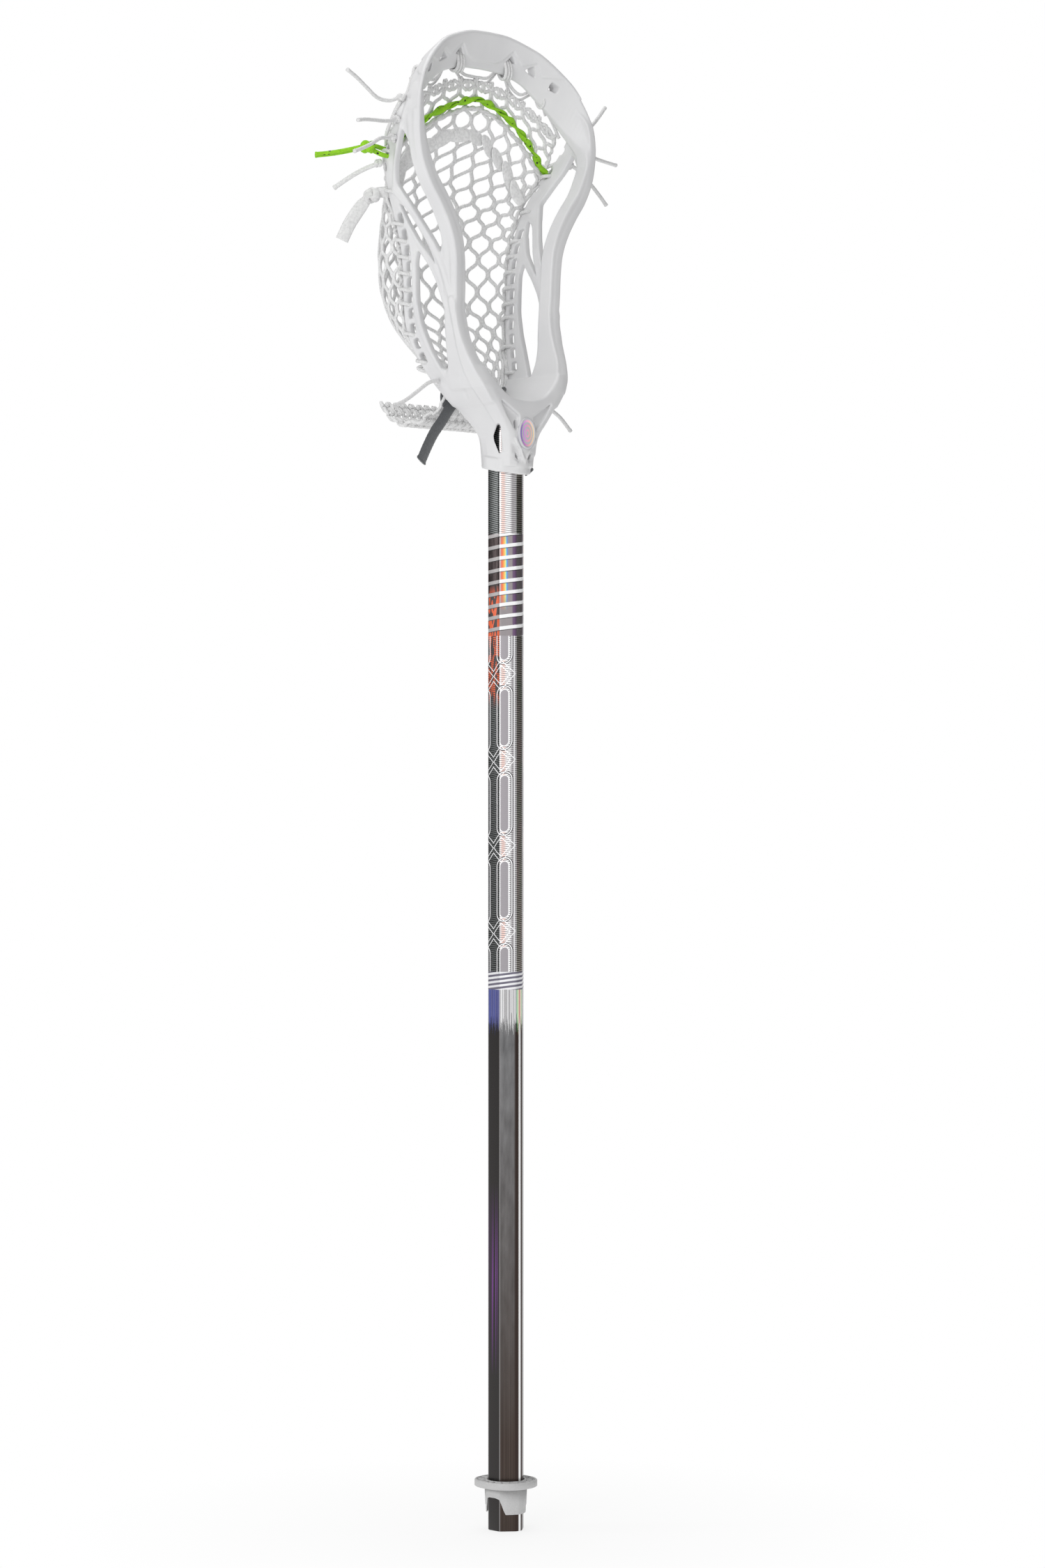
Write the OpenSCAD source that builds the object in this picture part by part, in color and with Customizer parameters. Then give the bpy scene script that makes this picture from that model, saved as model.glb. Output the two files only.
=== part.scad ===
// Lacrosse stick: moulded head with a laced mesh pocket on an octagonal metal shaft.
// Millimetres. The origin is the centre of the butt end, +Z runs up the shaft,
// the open face of the pocket looks along -Y, and +X is to the right of it.

/* [Shaft] */
// Length of the tube
shaft_len = 760; // [500:1:1500]
// Width of the tube between its side flats
shaft_w = 23.4; // [20:0.1:28]
// Depth of the tube from its front flat to its back flat
shaft_d = 26.4; // [22:0.1:32]
// Width of each side flat
side_flat = 10.8; // [8:0.1:13]
// Width of the front flat and of the back flat
front_flat = 5; // [4:0.1:6]
// Thickness of the tube's wall
shaft_wall = 1.3; // [0.8:0.1:2]

/* [Head] */
// Width of the head at its widest
head_w = 168; // [138:1:204]
// Width of the head at its narrow part
throat_w = 98; // [80:1:118]
// Length from the mouth of the socket to the tip of the scoop
head_len = 301; // [250:1:362]
// Depth from the front of the throat to the string rails
head_d = 67; // [55:1:81]
// How far the tube goes into the head
socket_in = 44; // [34:1:46]
// Thickness of the wall round the socket
socket_wall = 2.4; // [1.6:0.1:3.5]
// Clearance round the tube in the socket
socket_gap = 0.25; // [0.1:0.05:0.5]
// Thickness of the string rails and struts, across the sidewall
rail_t = 4.6; // [3:0.1:6]
// Width of the outer string rail
string_rail_w = 4; // [3:0.1:5]
// Distance between two string slots
slot_pitch = 11; // [9:0.5:14]
// Diameter of the screw that holds the head
screw_d = 3.5; // [3:0.1:4.5]

/* [Collar] */
// Height of the collar's lower edge above the butt end
collar_z = 11.5; // [2:0.5:40]
// Height of the collar's skirt
skirt_h = 17.6; // [12:0.1:20]
// Thickness of the collar's flange
flange_t = 4.8; // [3:0.1:7]
// How far the flange stands out from the tube
flange_out = 7.8; // [5:0.1:12]
// Thickness of the skirt at its top
skirt_t = 1.8; // [1:0.1:3]
// Clearance between the collar and the tube
collar_gap = 0.1; // [0.05:0.05:0.4]

/* [Pocket and strings] */
// Thickness of the mesh
mesh_t = 3; // [2:0.1:4]
// Diameter of the sidewall strings and the top string
string_d = 2.2; // [1.6:0.1:2.8]
// Width of the wide flat lace
lace_w = 8; // [6:0.5:10]
// Thickness of the flat laces
lace_t = 2.2; // [1.5:0.1:3]

/* [Hidden] */

e = 0.01;
nylon = [0.87, 0.87, 0.88];
white = [0.93, 0.93, 0.92];
green = [0.45, 0.85, 0.05];
dark = [0.25, 0.26, 0.27];

// ---- curves and skins ----

// The head's control points below are for a 168 by 301 by 67 mm head with a 98 mm throat and
// a 2.4 mm wall round the socket. head_z is the mouth of the socket, hp() carries such a point
// to the head's real size, and wall_more() is what a thicker wall adds to the socket's outside.
head_z = shaft_len - socket_in;
function wall_more(t) = (socket_wall - 2.4) * (1 - ramp(t, 30, 60));
function ramp(t, a, b) = let (u = min(1, max(0, (t - a) / (b - a)))) u * u * (3 - 2 * u);
function width_scale(t) = let (s = shaft_w / 23.4, n = throat_w / 98, w = head_w / 168)
    s + (n - s) * ramp(t, 24, 80) + (w - n) * ramp(t, 130, 215);
function depth_scale(t) = let (s = shaft_d / 26.4) s + (head_d / 67 - s) * ramp(t, 24, 90);
function hp(p) = [p[0] * width_scale(p[2]), p[1] * depth_scale(p[2]), head_z + p[2] * head_len / 301];

function unit(v) = v / norm(v);
function mid(a, b, t) = a + (b - a) * t;
function flip(p) = [-p[0], p[1], p[2]];

// A smooth line through chosen points, in m steps between each two
function catmull(a, b, c, d, t) =
    0.5 * (2 * b + (c - a) * t + (2 * a - 5 * b + 4 * c - d) * t * t + (3 * b - a - 3 * c + d) * t * t * t);
function curve(p, m) = let (n = len(p)) concat(
    [for (i = [0 : n - 2]) for (j = [0 : m - 1])
        catmull(p[max(i - 1, 0)], p[i], p[i + 1], p[min(i + 2, n - 1)], j / m)], [p[n - 1]]);
function tangent(p, i) = unit(p[min(i + 1, len(p) - 1)] - p[max(i - 1, 0)]);

// A closed solid through rings that each have the same even number of points
module skin(rings) {
    k = len(rings[0]);
    n = len(rings);
    sides = [for (i = [0 : n - 2]) for (j = [0 : k - 1])
        let (a = i * k + j, b = i * k + (j + 1) % k) each [[a, b + k, b], [a, a + k, b + k]]];
    ends = [for (j = [0 : k / 2 - 2]) let (a = j, b = j + 1, c = k - 2 - j, d = k - 1 - j, m = (n - 1) * k)
        each [[a, b, c], [a, c, d], [m + c, m + b, m + a], [m + d, m + c, m + a]]];
    polyhedron([for (r = rings) each r], concat(sides, ends), convexity = 8);
}

// An oval ring round a point: half width a across the hint, half thickness b along it
function oval(c, t, hint, a, b, k, turn = 0) = let (s = unit(cross(t, hint)), n = cross(t, s))
    [for (j = [0 : k - 1]) let (w = turn + 360 * j / k) c + s * a * cos(w) + n * b * sin(w)];
module oval_tube(p, a, b, hint, k = 8)
    skin([for (i = [0 : len(p) - 1]) oval(p[i], tangent(p, i), hint, a, b, k, 180 / k)]);
module tube(p, r, hint = [0, 1, 0], k = 8) oval_tube(p, r, r, hint, k);

// The ring of a bar that is w wide, t thick and bevelled by b
function brick(w, t, b) = [[w / 2, t / 2 - b], [w / 2 - b, t / 2], [b - w / 2, t / 2], [-w / 2, t / 2 - b],
    [-w / 2, b - t / 2], [b - w / 2, -t / 2], [w / 2 - b, -t / 2], [w / 2, b - t / 2]];
// A bar of the sidewall: w wide in the sidewall's own face and t thick across it
module bar(p, w, t) skin([for (i = [0 : len(p) - 1])
    let (f = tangent(p, i), s = unit(cross(f, [1, 0, 0])), n = cross(f, s))
    [for (q = brick(w, t, min(w, t) / 4)) p[i] + s * q[0] + n * q[1]]]);

// ---- shaft ----

function octagon(w, d, sf, ff) =
    [[w, -sf], [w, sf], [ff, d], [-ff, d], [-w, sf], [-w, -sf], [-ff, -d], [ff, -d]] / 2;
// The tube's outline with each flat moved out by g
corner = atan2(shaft_w - front_flat, shaft_d - side_flat);
function shaft_outline(g) = octagon(shaft_w + 2 * g, shaft_d + 2 * g,
    side_flat + 2 * g * tan(corner / 2), front_flat + 2 * g * tan((90 - corner) / 2));

screw_z = head_z + 20;
module screw_hole(d) translate([0, 0, screw_z]) rotate([-90, 0, 0]) cylinder(d = d, h = shaft_d, $fn = 48);

module shaft() color([0.55, 0.56, 0.58]) difference() {
    linear_extrude(shaft_len) polygon(shaft_outline(0));
    translate([0, 0, -e]) linear_extrude(shaft_len + 2 * e) polygon(shaft_outline(-shaft_wall));
    screw_hole(screw_d);
}

// The plug stands flush in the end of the tube
plug_in = 12;
plug_gap = 0.1;
module butt_plug() color(dark) linear_extrude(plug_in) polygon(shaft_outline(-shaft_wall - plug_gap));

// ---- collar ----

flange_z = collar_z + skirt_h;
function ellipse(a, b, n = 40) = [for (i = [0 : n - 1]) [a * cos(360 * i / n), b * sin(360 * i / n)]];
flange_a = shaft_w / 2 + flange_out;
flange_b = shaft_d / 2 + flange_out;
tray_wall = 1.4;
tray_deep = 1.6;
ribs = 16;
module shaft_bore() translate([0, 0, -e]) linear_extrude(shaft_len) polygon(shaft_outline(collar_gap));
module butt_collar() color([0.72, 0.72, 0.72]) {
    difference() {
        translate([0, 0, flange_z]) linear_extrude(flange_t) polygon(ellipse(flange_a, flange_b));
        shaft_bore();
        // shallow tray in the top of the flange, left open between the ribs
        translate([0, 0, flange_z + flange_t - tray_deep]) linear_extrude(flange_t) difference() {
            polygon(ellipse(flange_a - tray_wall, flange_b - tray_wall));
            polygon(shaft_outline(collar_gap + tray_wall));
            for (i = [0 : ribs / 2 - 1]) rotate(180 * (i + 0.5) / (ribs / 2))
                square([3 * flange_b, 1], center = true);
        }
    }
    difference() {
        // skirt: tapers down to a thin lip, with a small step above its lower edge
        skin([for (r = [[0, skirt_t * 0.45], [4.4, skirt_t * 0.6], [4.5, skirt_t * 0.75],
            [skirt_h, skirt_t]])
            [for (q = shaft_outline(r[1])) [q[0], q[1], collar_z + r[0]]]]);
        shaft_bore();
        // an arched notch on each side
        translate([0, 0, collar_z]) rotate([90, 0, 90]) linear_extrude(2 * shaft_w, center = true)
            polygon([[-8.7, -e], [8.7, -e], [6.2, 8], [4.8, 10.4], [3.2, 11], [-3.2, 11], [-4.8, 10.4],
                [-6.2, 8]]);
    }
}

// ---- head ----

// Scoop and front rails: outer front edge, back outer edge, inner edge, thickness at the inner edge
rim_half = [
    [[0, 15.6, 301], [0, 24.5, 296.5], [0, 26.5, 276.5], 3.5],
    [[18, 15, 300], [18, 24, 295], [20, 26.5, 275.5], 3.5],
    [[36, 13, 295], [35, 23, 290], [38, 26, 270.5], 3.5],
    [[47, 10.5, 290], [46, 22, 285], [48, 25.5, 264], 3.5],
    [[59, 7, 281], [58, 20, 276], [59, 24, 255], 4],
    [[69.5, 3, 270.5], [68.5, 17.5, 265.5], [67.5, 21.5, 245.5], 5],
    [[77, 0, 258.5], [76, 14.5, 254], [73, 17, 236], 7],
    [[82, -2.4, 246], [81.4, 11.5, 242], [76, 12, 228], 9],
    [[84, -3.3, 232], [83.8, 8.5, 230], [77, 9, 223], 11],
    [[83.6, -3.3, 218], [83.4, 7.6, 218], [76.4, 7.6, 214.5], 10.9],
    [[80.6, -3.3, 204], [80.5, 7.6, 204], [73, 7.6, 206], 10.9],
    [[73.8, -3.3, 190], [73.6, 7.6, 190], [66.5, 7.6, 194], 10.9],
    [[65, -3.3, 178], [64.8, 7.6, 178], [57.3, 7.6, 182.5], 10.9],
    [[57.2, -3.3, 165.5], [57, 7.6, 165.5], [48.8, 7.6, 169], 10.9],
    [[52, -3.3, 153], [52, 7.8, 153], [43.2, 7.8, 155], 11.1],
    [[50, -3.2, 140], [50, 8.2, 140], [41.2, 8.2, 140.5], 11.4],
    [[49.5, -2.8, 123.5], [49.5, 8.6, 123.5], [40.4, 8.6, 123.5], 11.4],
    [[49, -2.2, 107], [49, 9.2, 107], [39.8, 9.2, 107], 11.4],
    [[48.2, -6, 89], [47.6, 9.6, 90], [39.2, 9.6, 90], 15.6],
    [[46.6, -11, 77], [45.6, 10.5, 78], [38, 10.5, 78], 21.5],
    [[43.6, -15.5, 66], [42.5, 12, 66], [33, 12, 66], 27.5],
    [[39, -18.5, 56], [38, 14, 56], [27, 14, 56], 32.5]];
function rim_corners(s) = [hp(s[0]), hp(s[2] - [0, s[3], 0]), hp(s[2]), hp(s[1])];
function soften(q, b) = [for (k = [0 : 3]) for (m = [q[(k + 3) % 4], q[(k + 1) % 4]])
    mid(q[k], m, min(0.3, b / norm(m - q[k])))];
rim_right = [for (s = rim_half) soften(rim_corners(s), 1.8)];
rim_left = [for (i = [len(rim_half) - 1 : -1 : 1]) [for (q = rim_right[i]) flip(q)]];

// Rings of the throat: height, half width, front, back
throat_rings = [[7, 14.6, -18.4, 15.4], [19, 15.2, -19, 15.5], [26, 17, -19.7, 15.8], [34, 22.4, -20.2, 18],
    [44, 29.2, -20.2, 22.8], [51, 34.4, -19.8, 26], [60, 40.6, -18.5, 30.6], [68, 44, -16, 35]];
function throat_ring(r) = let (g = 2 * wall_more(r[0]))
    [for (q = brick(2 * r[1] + g, r[3] - r[2] + g, 7)) hp([q[0], q[1] + (r[2] + r[3]) / 2, r[0]])];
// The rim at the mouth of the socket leans back
mouth_lean = 0.19;
function mouth_ring(z, out) = let (g = 2 * (out + wall_more(z)))
    [for (q = brick(32.4 + g, 35.2 + g, 9.5)) let (y = q[1] - 1.7) hp([q[0], y, z + y * mouth_lean])];

outer_rail = [[81.5, 10, 243], [81, 17, 233], [79, 26, 223], [75, 34, 212], [70, 40.5, 200],
    [64.5, 44.2, 188],
    [58.5, 45.6, 174.5], [53, 45.6, 157], [50, 45.6, 139], [49, 45.5, 119], [48, 44, 101], [46.3, 41.3, 88],
    [43, 37, 77], [38.5, 31.5, 66], [33, 26.5, 56.5], [27.5, 22, 47.5]];
inner_rail = [[66, 38, 187], [60, 38.6, 177], [54.5, 38, 164], [50.5, 37.2, 148], [49, 37.2, 130],
    [48.4, 37, 118], [47.4, 35, 104], [45.4, 30.5, 91], [42.5, 25, 79], [39, 19.5, 68.5], [34, 15, 58]];
top_strut = [[81.5, 9, 243], [82, 13, 232], [81, 18.5, 220], [78.5, 25.5, 208], [73.5, 33, 196],
    [67, 38, 187]];
front_strut = [[68, 38.5, 189], [63, 32.5, 180], [57.5, 27, 170], [53.5, 21.5, 159], [51, 16.5, 149],
    [49.6, 11, 138], [49, 6, 125], [48.8, 2.5, 111]];
back_strut = [[60, 38.6, 177], [55.5, 35.5, 167], [52, 31, 156], [50.4, 26, 146.5], [49.6, 20.5, 136.5],
    [49, 14, 124], [48.6, 9, 111]];
string_rail = [for (q = curve(outer_rail, 2)) hp(q)];
slot_rail = [for (q = curve(inner_rail, 2)) hp(q)];
strut_rail = [for (q = curve(top_strut, 2)) hp(q)];

// The point on a line nearest to a height z
function at_z(p, z, i = 0) = i >= len(p) - 2 || p[i + 1][2] < z ?
    mid(p[i], p[i + 1], (p[i][2] - z) / (p[i][2] - p[i + 1][2])) : at_z(p, z, i + 1);
rung_t = 3;
// Rungs divide the slots between the string rail and the bar in front of it
module rung(a, b) hull() for (q = [a, b]) translate(q) cube([rail_t * 0.8, rung_t, rung_t], center = true);
module rungs() {
    low = head_z + 70 * head_len / 301;
    for (k = [0 : floor(112 * head_len / 301 / slot_pitch)]) let (z = low + k * slot_pitch)
        rung(at_z(string_rail, z), at_z(slot_rail, z - 2));
    for (t = [207, 217, 227]) let (z = hp([0, 0, t])[2]) rung(at_z(string_rail, z), at_z(strut_rail,
        z - 8));
}
module sidewall() {
    bar(string_rail, string_rail_w, rail_t);
    bar(slot_rail, 3.8, rail_t);
    bar(strut_rail, 4.2, rail_t);
    bar([for (q = curve(front_strut, 2)) hp(q)], 5.6, rail_t);
    bar([for (q = curve(back_strut, 2)) hp(q)], 4.2, rail_t);
    rungs();
}
// Cuts through both sidewalls: outlines as seen from the side, [y, z]
windows = [[[-1.8, 67.5], [7.1, 52.6], [3.6, 46], [-2.6, 59]],
    [[-6.6, 34], [-10, 20], [-9.3, 10], [-1.2, 25]],
    [[9, 20.6], [6, 21.2], [1.5, 13], [2.4, 11], [8.4, 15]]];
// Slits through the front of the throat, one side: [x, z]
slits = [[[-8.6, 37.5], [-7, 37], [-6.4, 33], [-7.6, 32.5]],
    [[-7.4, 16.4], [-4.2, 12.2], [-4.6, 10.6], [-7, 13]]];
// The channel that the ball leaves by, half of its outline: [x, z]
channel = [[0, 47.5], [7.6, 48], [16.3, 50.3], [23.3, 55.5], [33.5, 66], [37.6, 75], [37.6, 95]];
channel_half = [for (q = channel) let (p = hp([q[0], 0, q[1]])) [p[0], p[2]]];
channel_outline = concat(channel_half,
    [for (i = [len(channel) - 1 : -1 : 1]) [-channel_half[i][0], channel_half[i][1]]]);
string_holes = [[22.5, 284], [41, 278], [58, 266]];
module head() color(nylon) difference() {
    union() {
        skin(concat(rim_left, rim_right));
        skin([for (r = throat_rings) throat_ring(r)]);
        skin([mouth_ring(1.2, -0.6), mouth_ring(1.8, 0), mouth_ring(7, 0), mouth_ring(7.6, -0.6)]);
        sidewall();
        mirror([1, 0, 0]) sidewall();
    }
    translate([0, 0, head_z - 20]) linear_extrude(socket_in + 20 + socket_gap)
        polygon(shaft_outline(socket_gap));
    for (w = windows) rotate([90, 0, 90]) linear_extrude(2 * head_w, center = true)
        polygon([for (q = w) let (p = hp([0, q[0], q[1]])) [p[1], p[2]]]);
    for (s = [0, 1]) mirror([s, 0, 0]) {
        for (w = slits) rotate([90, 0, 0]) linear_extrude(head_d)
            polygon([for (q = w) let (p = hp([q[0], 0, q[1]])) [p[0], p[2]]]);
        for (h = string_holes) translate(hp([h[0], 0, h[1]])) rotate([-90, 0, 0])
            cylinder(d = 5, h = head_d, $fn = 12);
    }
    rotate([90, 0, 0]) linear_extrude(4 * head_d, center = true) polygon(channel_outline);
    screw_hole(screw_d + 0.4);
}

// A pan-head screw through the back of the socket and the tube's wall
screw_head_y = depth_scale(20) * (15.5 + wall_more(20));
module head_screw() color([0.6, 0.6, 0.6]) translate([0, 0, screw_z]) rotate([-90, 0, 0]) {
    translate([0, 0, shaft_d / 2 - 5]) cylinder(d = screw_d, h = screw_head_y - shaft_d / 2 + 5 + e,
        $fn = 48);
    translate([0, 0, screw_head_y]) cylinder(d = 2 * screw_d, h = 1.8, $fn = 48);
}

// A plain oval badge on the front of the throat
badge_z = head_z + 25.5 * head_len / 301;
badge_t = 1.4;
badge_y = -depth_scale(25.5) * (19.7 + wall_more(25.5));
module throat_badge() color([0.8, 0.6, 0.85]) translate([0, badge_y, badge_z])
    rotate([90, 0, 0]) linear_extrude(badge_t) polygon(ellipse(8, 10.6, 32));

// ---- pocket ----

// Rows of the mesh: middle of the pocket [y, z], its edge at the right rail [x, y, z], how round it hangs
rows = [[[29, 271], [74, 25.5, 240], 0], [[30, 260], [76, 29, 233], 0], [[32, 250], [77, 33, 226], 0.1],
    [[35.5, 238], [76, 37, 218], 0.2], [[45, 228], [73, 41, 210], 0.35], [[60, 218], [69, 45, 201], 0.5],
    [[75.5, 206], [64, 48, 191], 0.65], [[88, 191], [58.5, 49.5, 179], 0.8], [[97, 175],
    [54, 50, 167], 0.9],
    [[102, 157], [51.5, 50, 154], 1], [[103, 140], [50.5, 50, 140], 1], [[99.5, 124], [50, 50, 126], 1],
    [[91, 110], [49.5, 49.5, 113], 1], [[80, 98.5], [48.5, 48, 101], 1], [[66, 86.5], [46.5, 45, 90], 0.9],
    [[54, 77.5], [43, 41, 80], 0.8], [[44, 68.5], [38, 36.5, 69.5], 0.6], [[38, 60], [32, 32, 60], 0.4],
    [[35.5, 52], [26, 29, 52], 0.2]];
// A point of the mesh: u runs from -1 at the left rail to 1 at the right one, v counts rows
function row_at(v) = let (i = min(len(rows) - 2, max(0, floor(v))), f = v - i)
    [for (k = [0 : 2]) mid(rows[i][k], rows[i + 1][k], f)];
function pocket(u, v) = let (r = row_at(v), m = r[2], g = mid(1 - u * u, cos(90 * u), m),
    x = mid(u, sin(90 * u), m)) hp([r[1][0] * x, mid(r[1][1], r[0][0], g), mid(r[1][2], r[0][1], g)]);
function pocket_normal(u, v) = unit(cross(pocket(u, v - 0.05) - pocket(u, v + 0.05),
    pocket(u + 0.02, v) - pocket(u - 0.02, v)));
across = 8;
module mesh_pocket() color(white) skin([for (v = [0 : len(rows) - 1])
    let (us = [for (j = [-across : across]) j / across])
    concat([for (u = us) pocket(u, v) + pocket_normal(u, v) * mesh_t / 2],
        [for (u = us) pocket(-u, v) - pocket_normal(-u, v) * mesh_t / 2])]);

// The end of the mesh, gathered at the throat and curling out behind it
tail_line = [[36, 51], [41, 42], [48, 36.5], [60, 34.5], [72, 37], [80, 43], [87, 50.5]];
tail_w = 74;
tail_t = 4.6;
module mesh_tail() color(white)
    bar([for (q = curve([for (q = tail_line) [0, q[0], q[1]]], 2)) hp(q)], tail_t, tail_w * throat_w / 98);

// ---- strings ----

// A string wound round the string rail from z0 down to z1, once for each slot
module wound_string(z0, z1) {
    steps = 7;
    turns = floor((z0 - z1) / slot_pitch);
    line = [for (i = [0 : steps * turns]) let (z = z0 - i * slot_pitch / steps, c = at_z(string_rail, z),
        f = unit(at_z(string_rail, z - 2) - at_z(string_rail, z + 2)),
        s = unit(cross(f, [1, 0, 0])), n = cross(f, s), w = 360 * i / steps)
        c + s * (string_rail_w + string_d) / 2 * 1.05 * cos(w)
            + n * (rail_t + string_d) / 2 * 1.05 * sin(w)];
    tube(line, string_d / 2, [0.2, 0.3, 1], 6);
}
string_top = hp([0, 0, 238])[2];
string_low = hp([0, 0, 62])[2];
module sidewall_string_right() color(white) wound_string(string_top, string_low);
module sidewall_string_left() color(white) mirror([1, 0, 0]) wound_string(string_top, string_low);

// The top string: rises to each hole of the scoop, goes through it and drops back to the mesh
top_half = [[3, 29.5, 272], [12, 29.5, 273], [20, 28.5, 281], [22.5, 23, 285], [25, 28.5, 280],
    [33, 29.5, 270],
    [41, 29, 263], [50, 29, 264], [56, 27, 268], [58, 20, 267], [61, 26, 262], [67, 27, 251],
    [74, 25, 241]];
top_left = [for (i = [len(top_half) - 1 : -1 : 0]) flip(top_half[i])];
module top_string() color(white)
    tube([for (q = concat(top_left, top_half)) hp(q)], string_d / 2, [0.1, 1, 0.2]);

// Shooting strings, right half of each line, laid on the open side of the mesh
green_half = [[0, 27.5, 256.5], [17, 27.8, 252.5], [35, 29.5, 245], [52, 32.5, 234.5], [63, 35, 226],
    [71, 37, 218], [76.5, 35.5, 213.5]];
cord_half = [[0, 29, 250.5], [17, 29.5, 247], [35, 31.5, 239], [52, 34.5, 228.5], [63, 37, 220],
    [73, 38, 211]];
wide_half = [[0, 36.5, 232.5], [15, 38, 231.5], [32, 43, 223], [46, 46, 214.5], [55, 46.5, 201],
    [60, 43, 193]];
function whole(p) = [for (q = concat([for (i = [len(p) - 1 : -1 : 1]) flip(p[i])], p)) hp(q)];
module shooting_lace_green() color(green) tube(curve(whole(green_half), 2), 1.8);
module shooting_cord_white() color(white) oval_tube(curve(whole(cord_half), 2), 1.6, 0.9, [0, 1, 0]);
module shooting_lace_wide() color(white)
    oval_tube(curve(whole(wide_half), 2), lace_w / 2, lace_t / 2, [0, 1, 0]);

// The dark lace weaves through the foot of the mesh and the back of the throat
bottom_half = [[0, 25, 46.5], [7, 26, 56], [12, 31, 50], [17, 27, 47.5], [24.5, 26, 57], [26, 32, 52],
    [22, 33, 46]];
module bottom_lace() color(dark) oval_tube(curve(whole(bottom_half), 3), 3.2, lace_t / 2, [0, 1, 0.2]);

// ---- knots and free ends ----

module ball(p, d) translate(hp(p)) sphere(d = d, $fn = 24);
// A knot tied in the lace that comes from a: a lump drawn out along it
module knot(a, p, d) let (f = unit(hp(p) - hp(a))) skin([for (w = [-75 : 30 : 75])
    oval(hp(p) + f * d / 2 * sin(w), f, [0.1, 0.2, 1], d / 2 * cos(w), d / 2 * cos(w), 10)]);
left_knots = [[-85, 13, 246], [-85, 18, 232], [-84, 22.5, 220], [-79, 42, 206], [-38, 25.5, 60]];
right_knots = [[85, 13, 245], [84.5, 17, 231], [84, 22, 220], [38, 25.5, 60]];
module knots_left() color(white) for (p = left_knots) ball(p, 6);
module knots_right() color(white) for (p = right_knots) ball(p, 6);
green_neck = [[-77, 35.5, 213], [-84, 36.5, 214], [-91, 38, 215]];
module green_knot() color(green) {
    knot(green_neck[1], green_neck[2], 9);
    tube([for (q = green_neck) hp(q)], 1.8);
}
module green_end() color(green) ball([81, 34, 213], 7);
wide_tail = [[-66, 48, 187], [-72, 56, 186], [-77, 64, 177], [-80, 70, 167], [-82.5, 74.5, 157]];
module wide_lace_knot() color(white) {
    knot(wide_tail[0], wide_tail[1], 13);
    oval_tube([for (q = wide_tail) hp(q)], lace_w / 2, lace_t / 2, [0, 1, 0]);
}
module wide_lace_end() color(white) ball([67, 48, 187], 9);

// A free end starts at its knot and keeps its own shape
module free_end(p, a, b, hint = [0, 1, 0]) translate(hp(p[0]) - p[0]) oval_tube(curve(p, 2), a, b, hint);
thin = string_d / 2;
line_left_top = [[-86, 14, 246], [-92, 17, 243.5], [-101, 19, 244.5], [-112, 18, 250], [-122, 16.5, 255],
    [-132, 15, 259]];
line_left_middle = [[-86, 18, 232], [-92, 16, 230], [-101, 13.5, 228.5], [-112, 10.5, 227.5],
    [-122, 8.5, 226.5], [-130, 7, 225]];
line_left_low = [[-85, 22.5, 220], [-90, 22, 219.5], [-98, 20, 218], [-107, 18, 213.5], [-116, 16.5, 209.5],
    [-125, 16, 206]];
line_left_thick = [[-79, 43, 205.5], [-82, 49, 203.5], [-86, 56, 200], [-90, 63, 195.5], [-94, 70, 190.5]];
line_green = [[-94, 39, 215], [-99, 43, 213.5], [-106, 48.5, 211.5], [-113, 54.5, 210], [-120, 60, 209]];
line_right_top = [[86, 13.5, 245], [92, 15, 244.5], [99, 16, 247.5], [107, 16, 255], [114, 16, 263]];
line_right_middle = [[85.5, 17, 231], [92, 16, 228], [102, 15, 226], [113, 15, 224.5],
    [124.5, 15.5, 223.5]];
line_right_low = [[85, 21.5, 220], [90, 19, 216.5], [98, 16, 208.5], [105, 13, 200], [111, 12, 193.5]];
line_throat_left = [[-39, 25, 60], [-44, 21.5, 61], [-54, 19.5, 58.5], [-64, 20, 52], [-75, 21, 45],
    [-86, 21.5, 40.5]];
line_throat_right = [[39, 25, 60], [46, 21.5, 58], [58, 20.5, 51], [73, 21, 44], [84.5, 21, 34.5]];
line_dark_left = [[-17, 31, 50], [-21, 32.5, 45], [-27, 34, 36], [-34, 35, 27], [-41, 34.5, 17],
    [-48, 33, 7]];
line_dark_right = [[17, 31, 50], [21, 31, 45], [28, 30, 36], [36, 29, 26], [43, 28, 15], [50, 27, 4]];
module tail_left_top() color(white) free_end(line_left_top, thin, thin);
module tail_left_middle() color(white) free_end(line_left_middle, thin, thin);
module tail_left_low() color(white) free_end(line_left_low, thin, thin);
module tail_left_thick() color(white) free_end(line_left_thick, 1.5, 1.5, [0, 0, 1]);
module tail_green() color(green) free_end(line_green, 1.8, 2.6, [0, 0, 1]);
module tail_right_top() color(white) free_end(line_right_top, thin, thin);
module tail_right_middle() color(white) free_end(line_right_middle, thin, thin);
module tail_right_low() color(white) free_end(line_right_low, thin, thin);
module tail_throat_left() color(white) free_end(line_throat_left, thin, thin);
module tail_throat_right() color(white) free_end(line_throat_right, thin, thin);
module tail_dark_left() color(dark) free_end(line_dark_left, 4.3, lace_t / 2);
module tail_dark_right() color(dark) free_end(line_dark_right, 4.3, lace_t / 2);

head();
head_screw();
throat_badge();
shaft();
butt_plug();
butt_collar();
mesh_pocket();
mesh_tail();
top_string();
sidewall_string_left();
sidewall_string_right();
shooting_lace_green();
shooting_cord_white();
shooting_lace_wide();
bottom_lace();
knots_left();
knots_right();
green_knot();
green_end();
wide_lace_knot();
wide_lace_end();
tail_left_top();
tail_left_middle();
tail_left_low();
tail_left_thick();
tail_green();
tail_right_top();
tail_right_middle();
tail_right_low();
tail_throat_left();
tail_throat_right();
tail_dark_left();
tail_dark_right();
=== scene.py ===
import math

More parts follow.
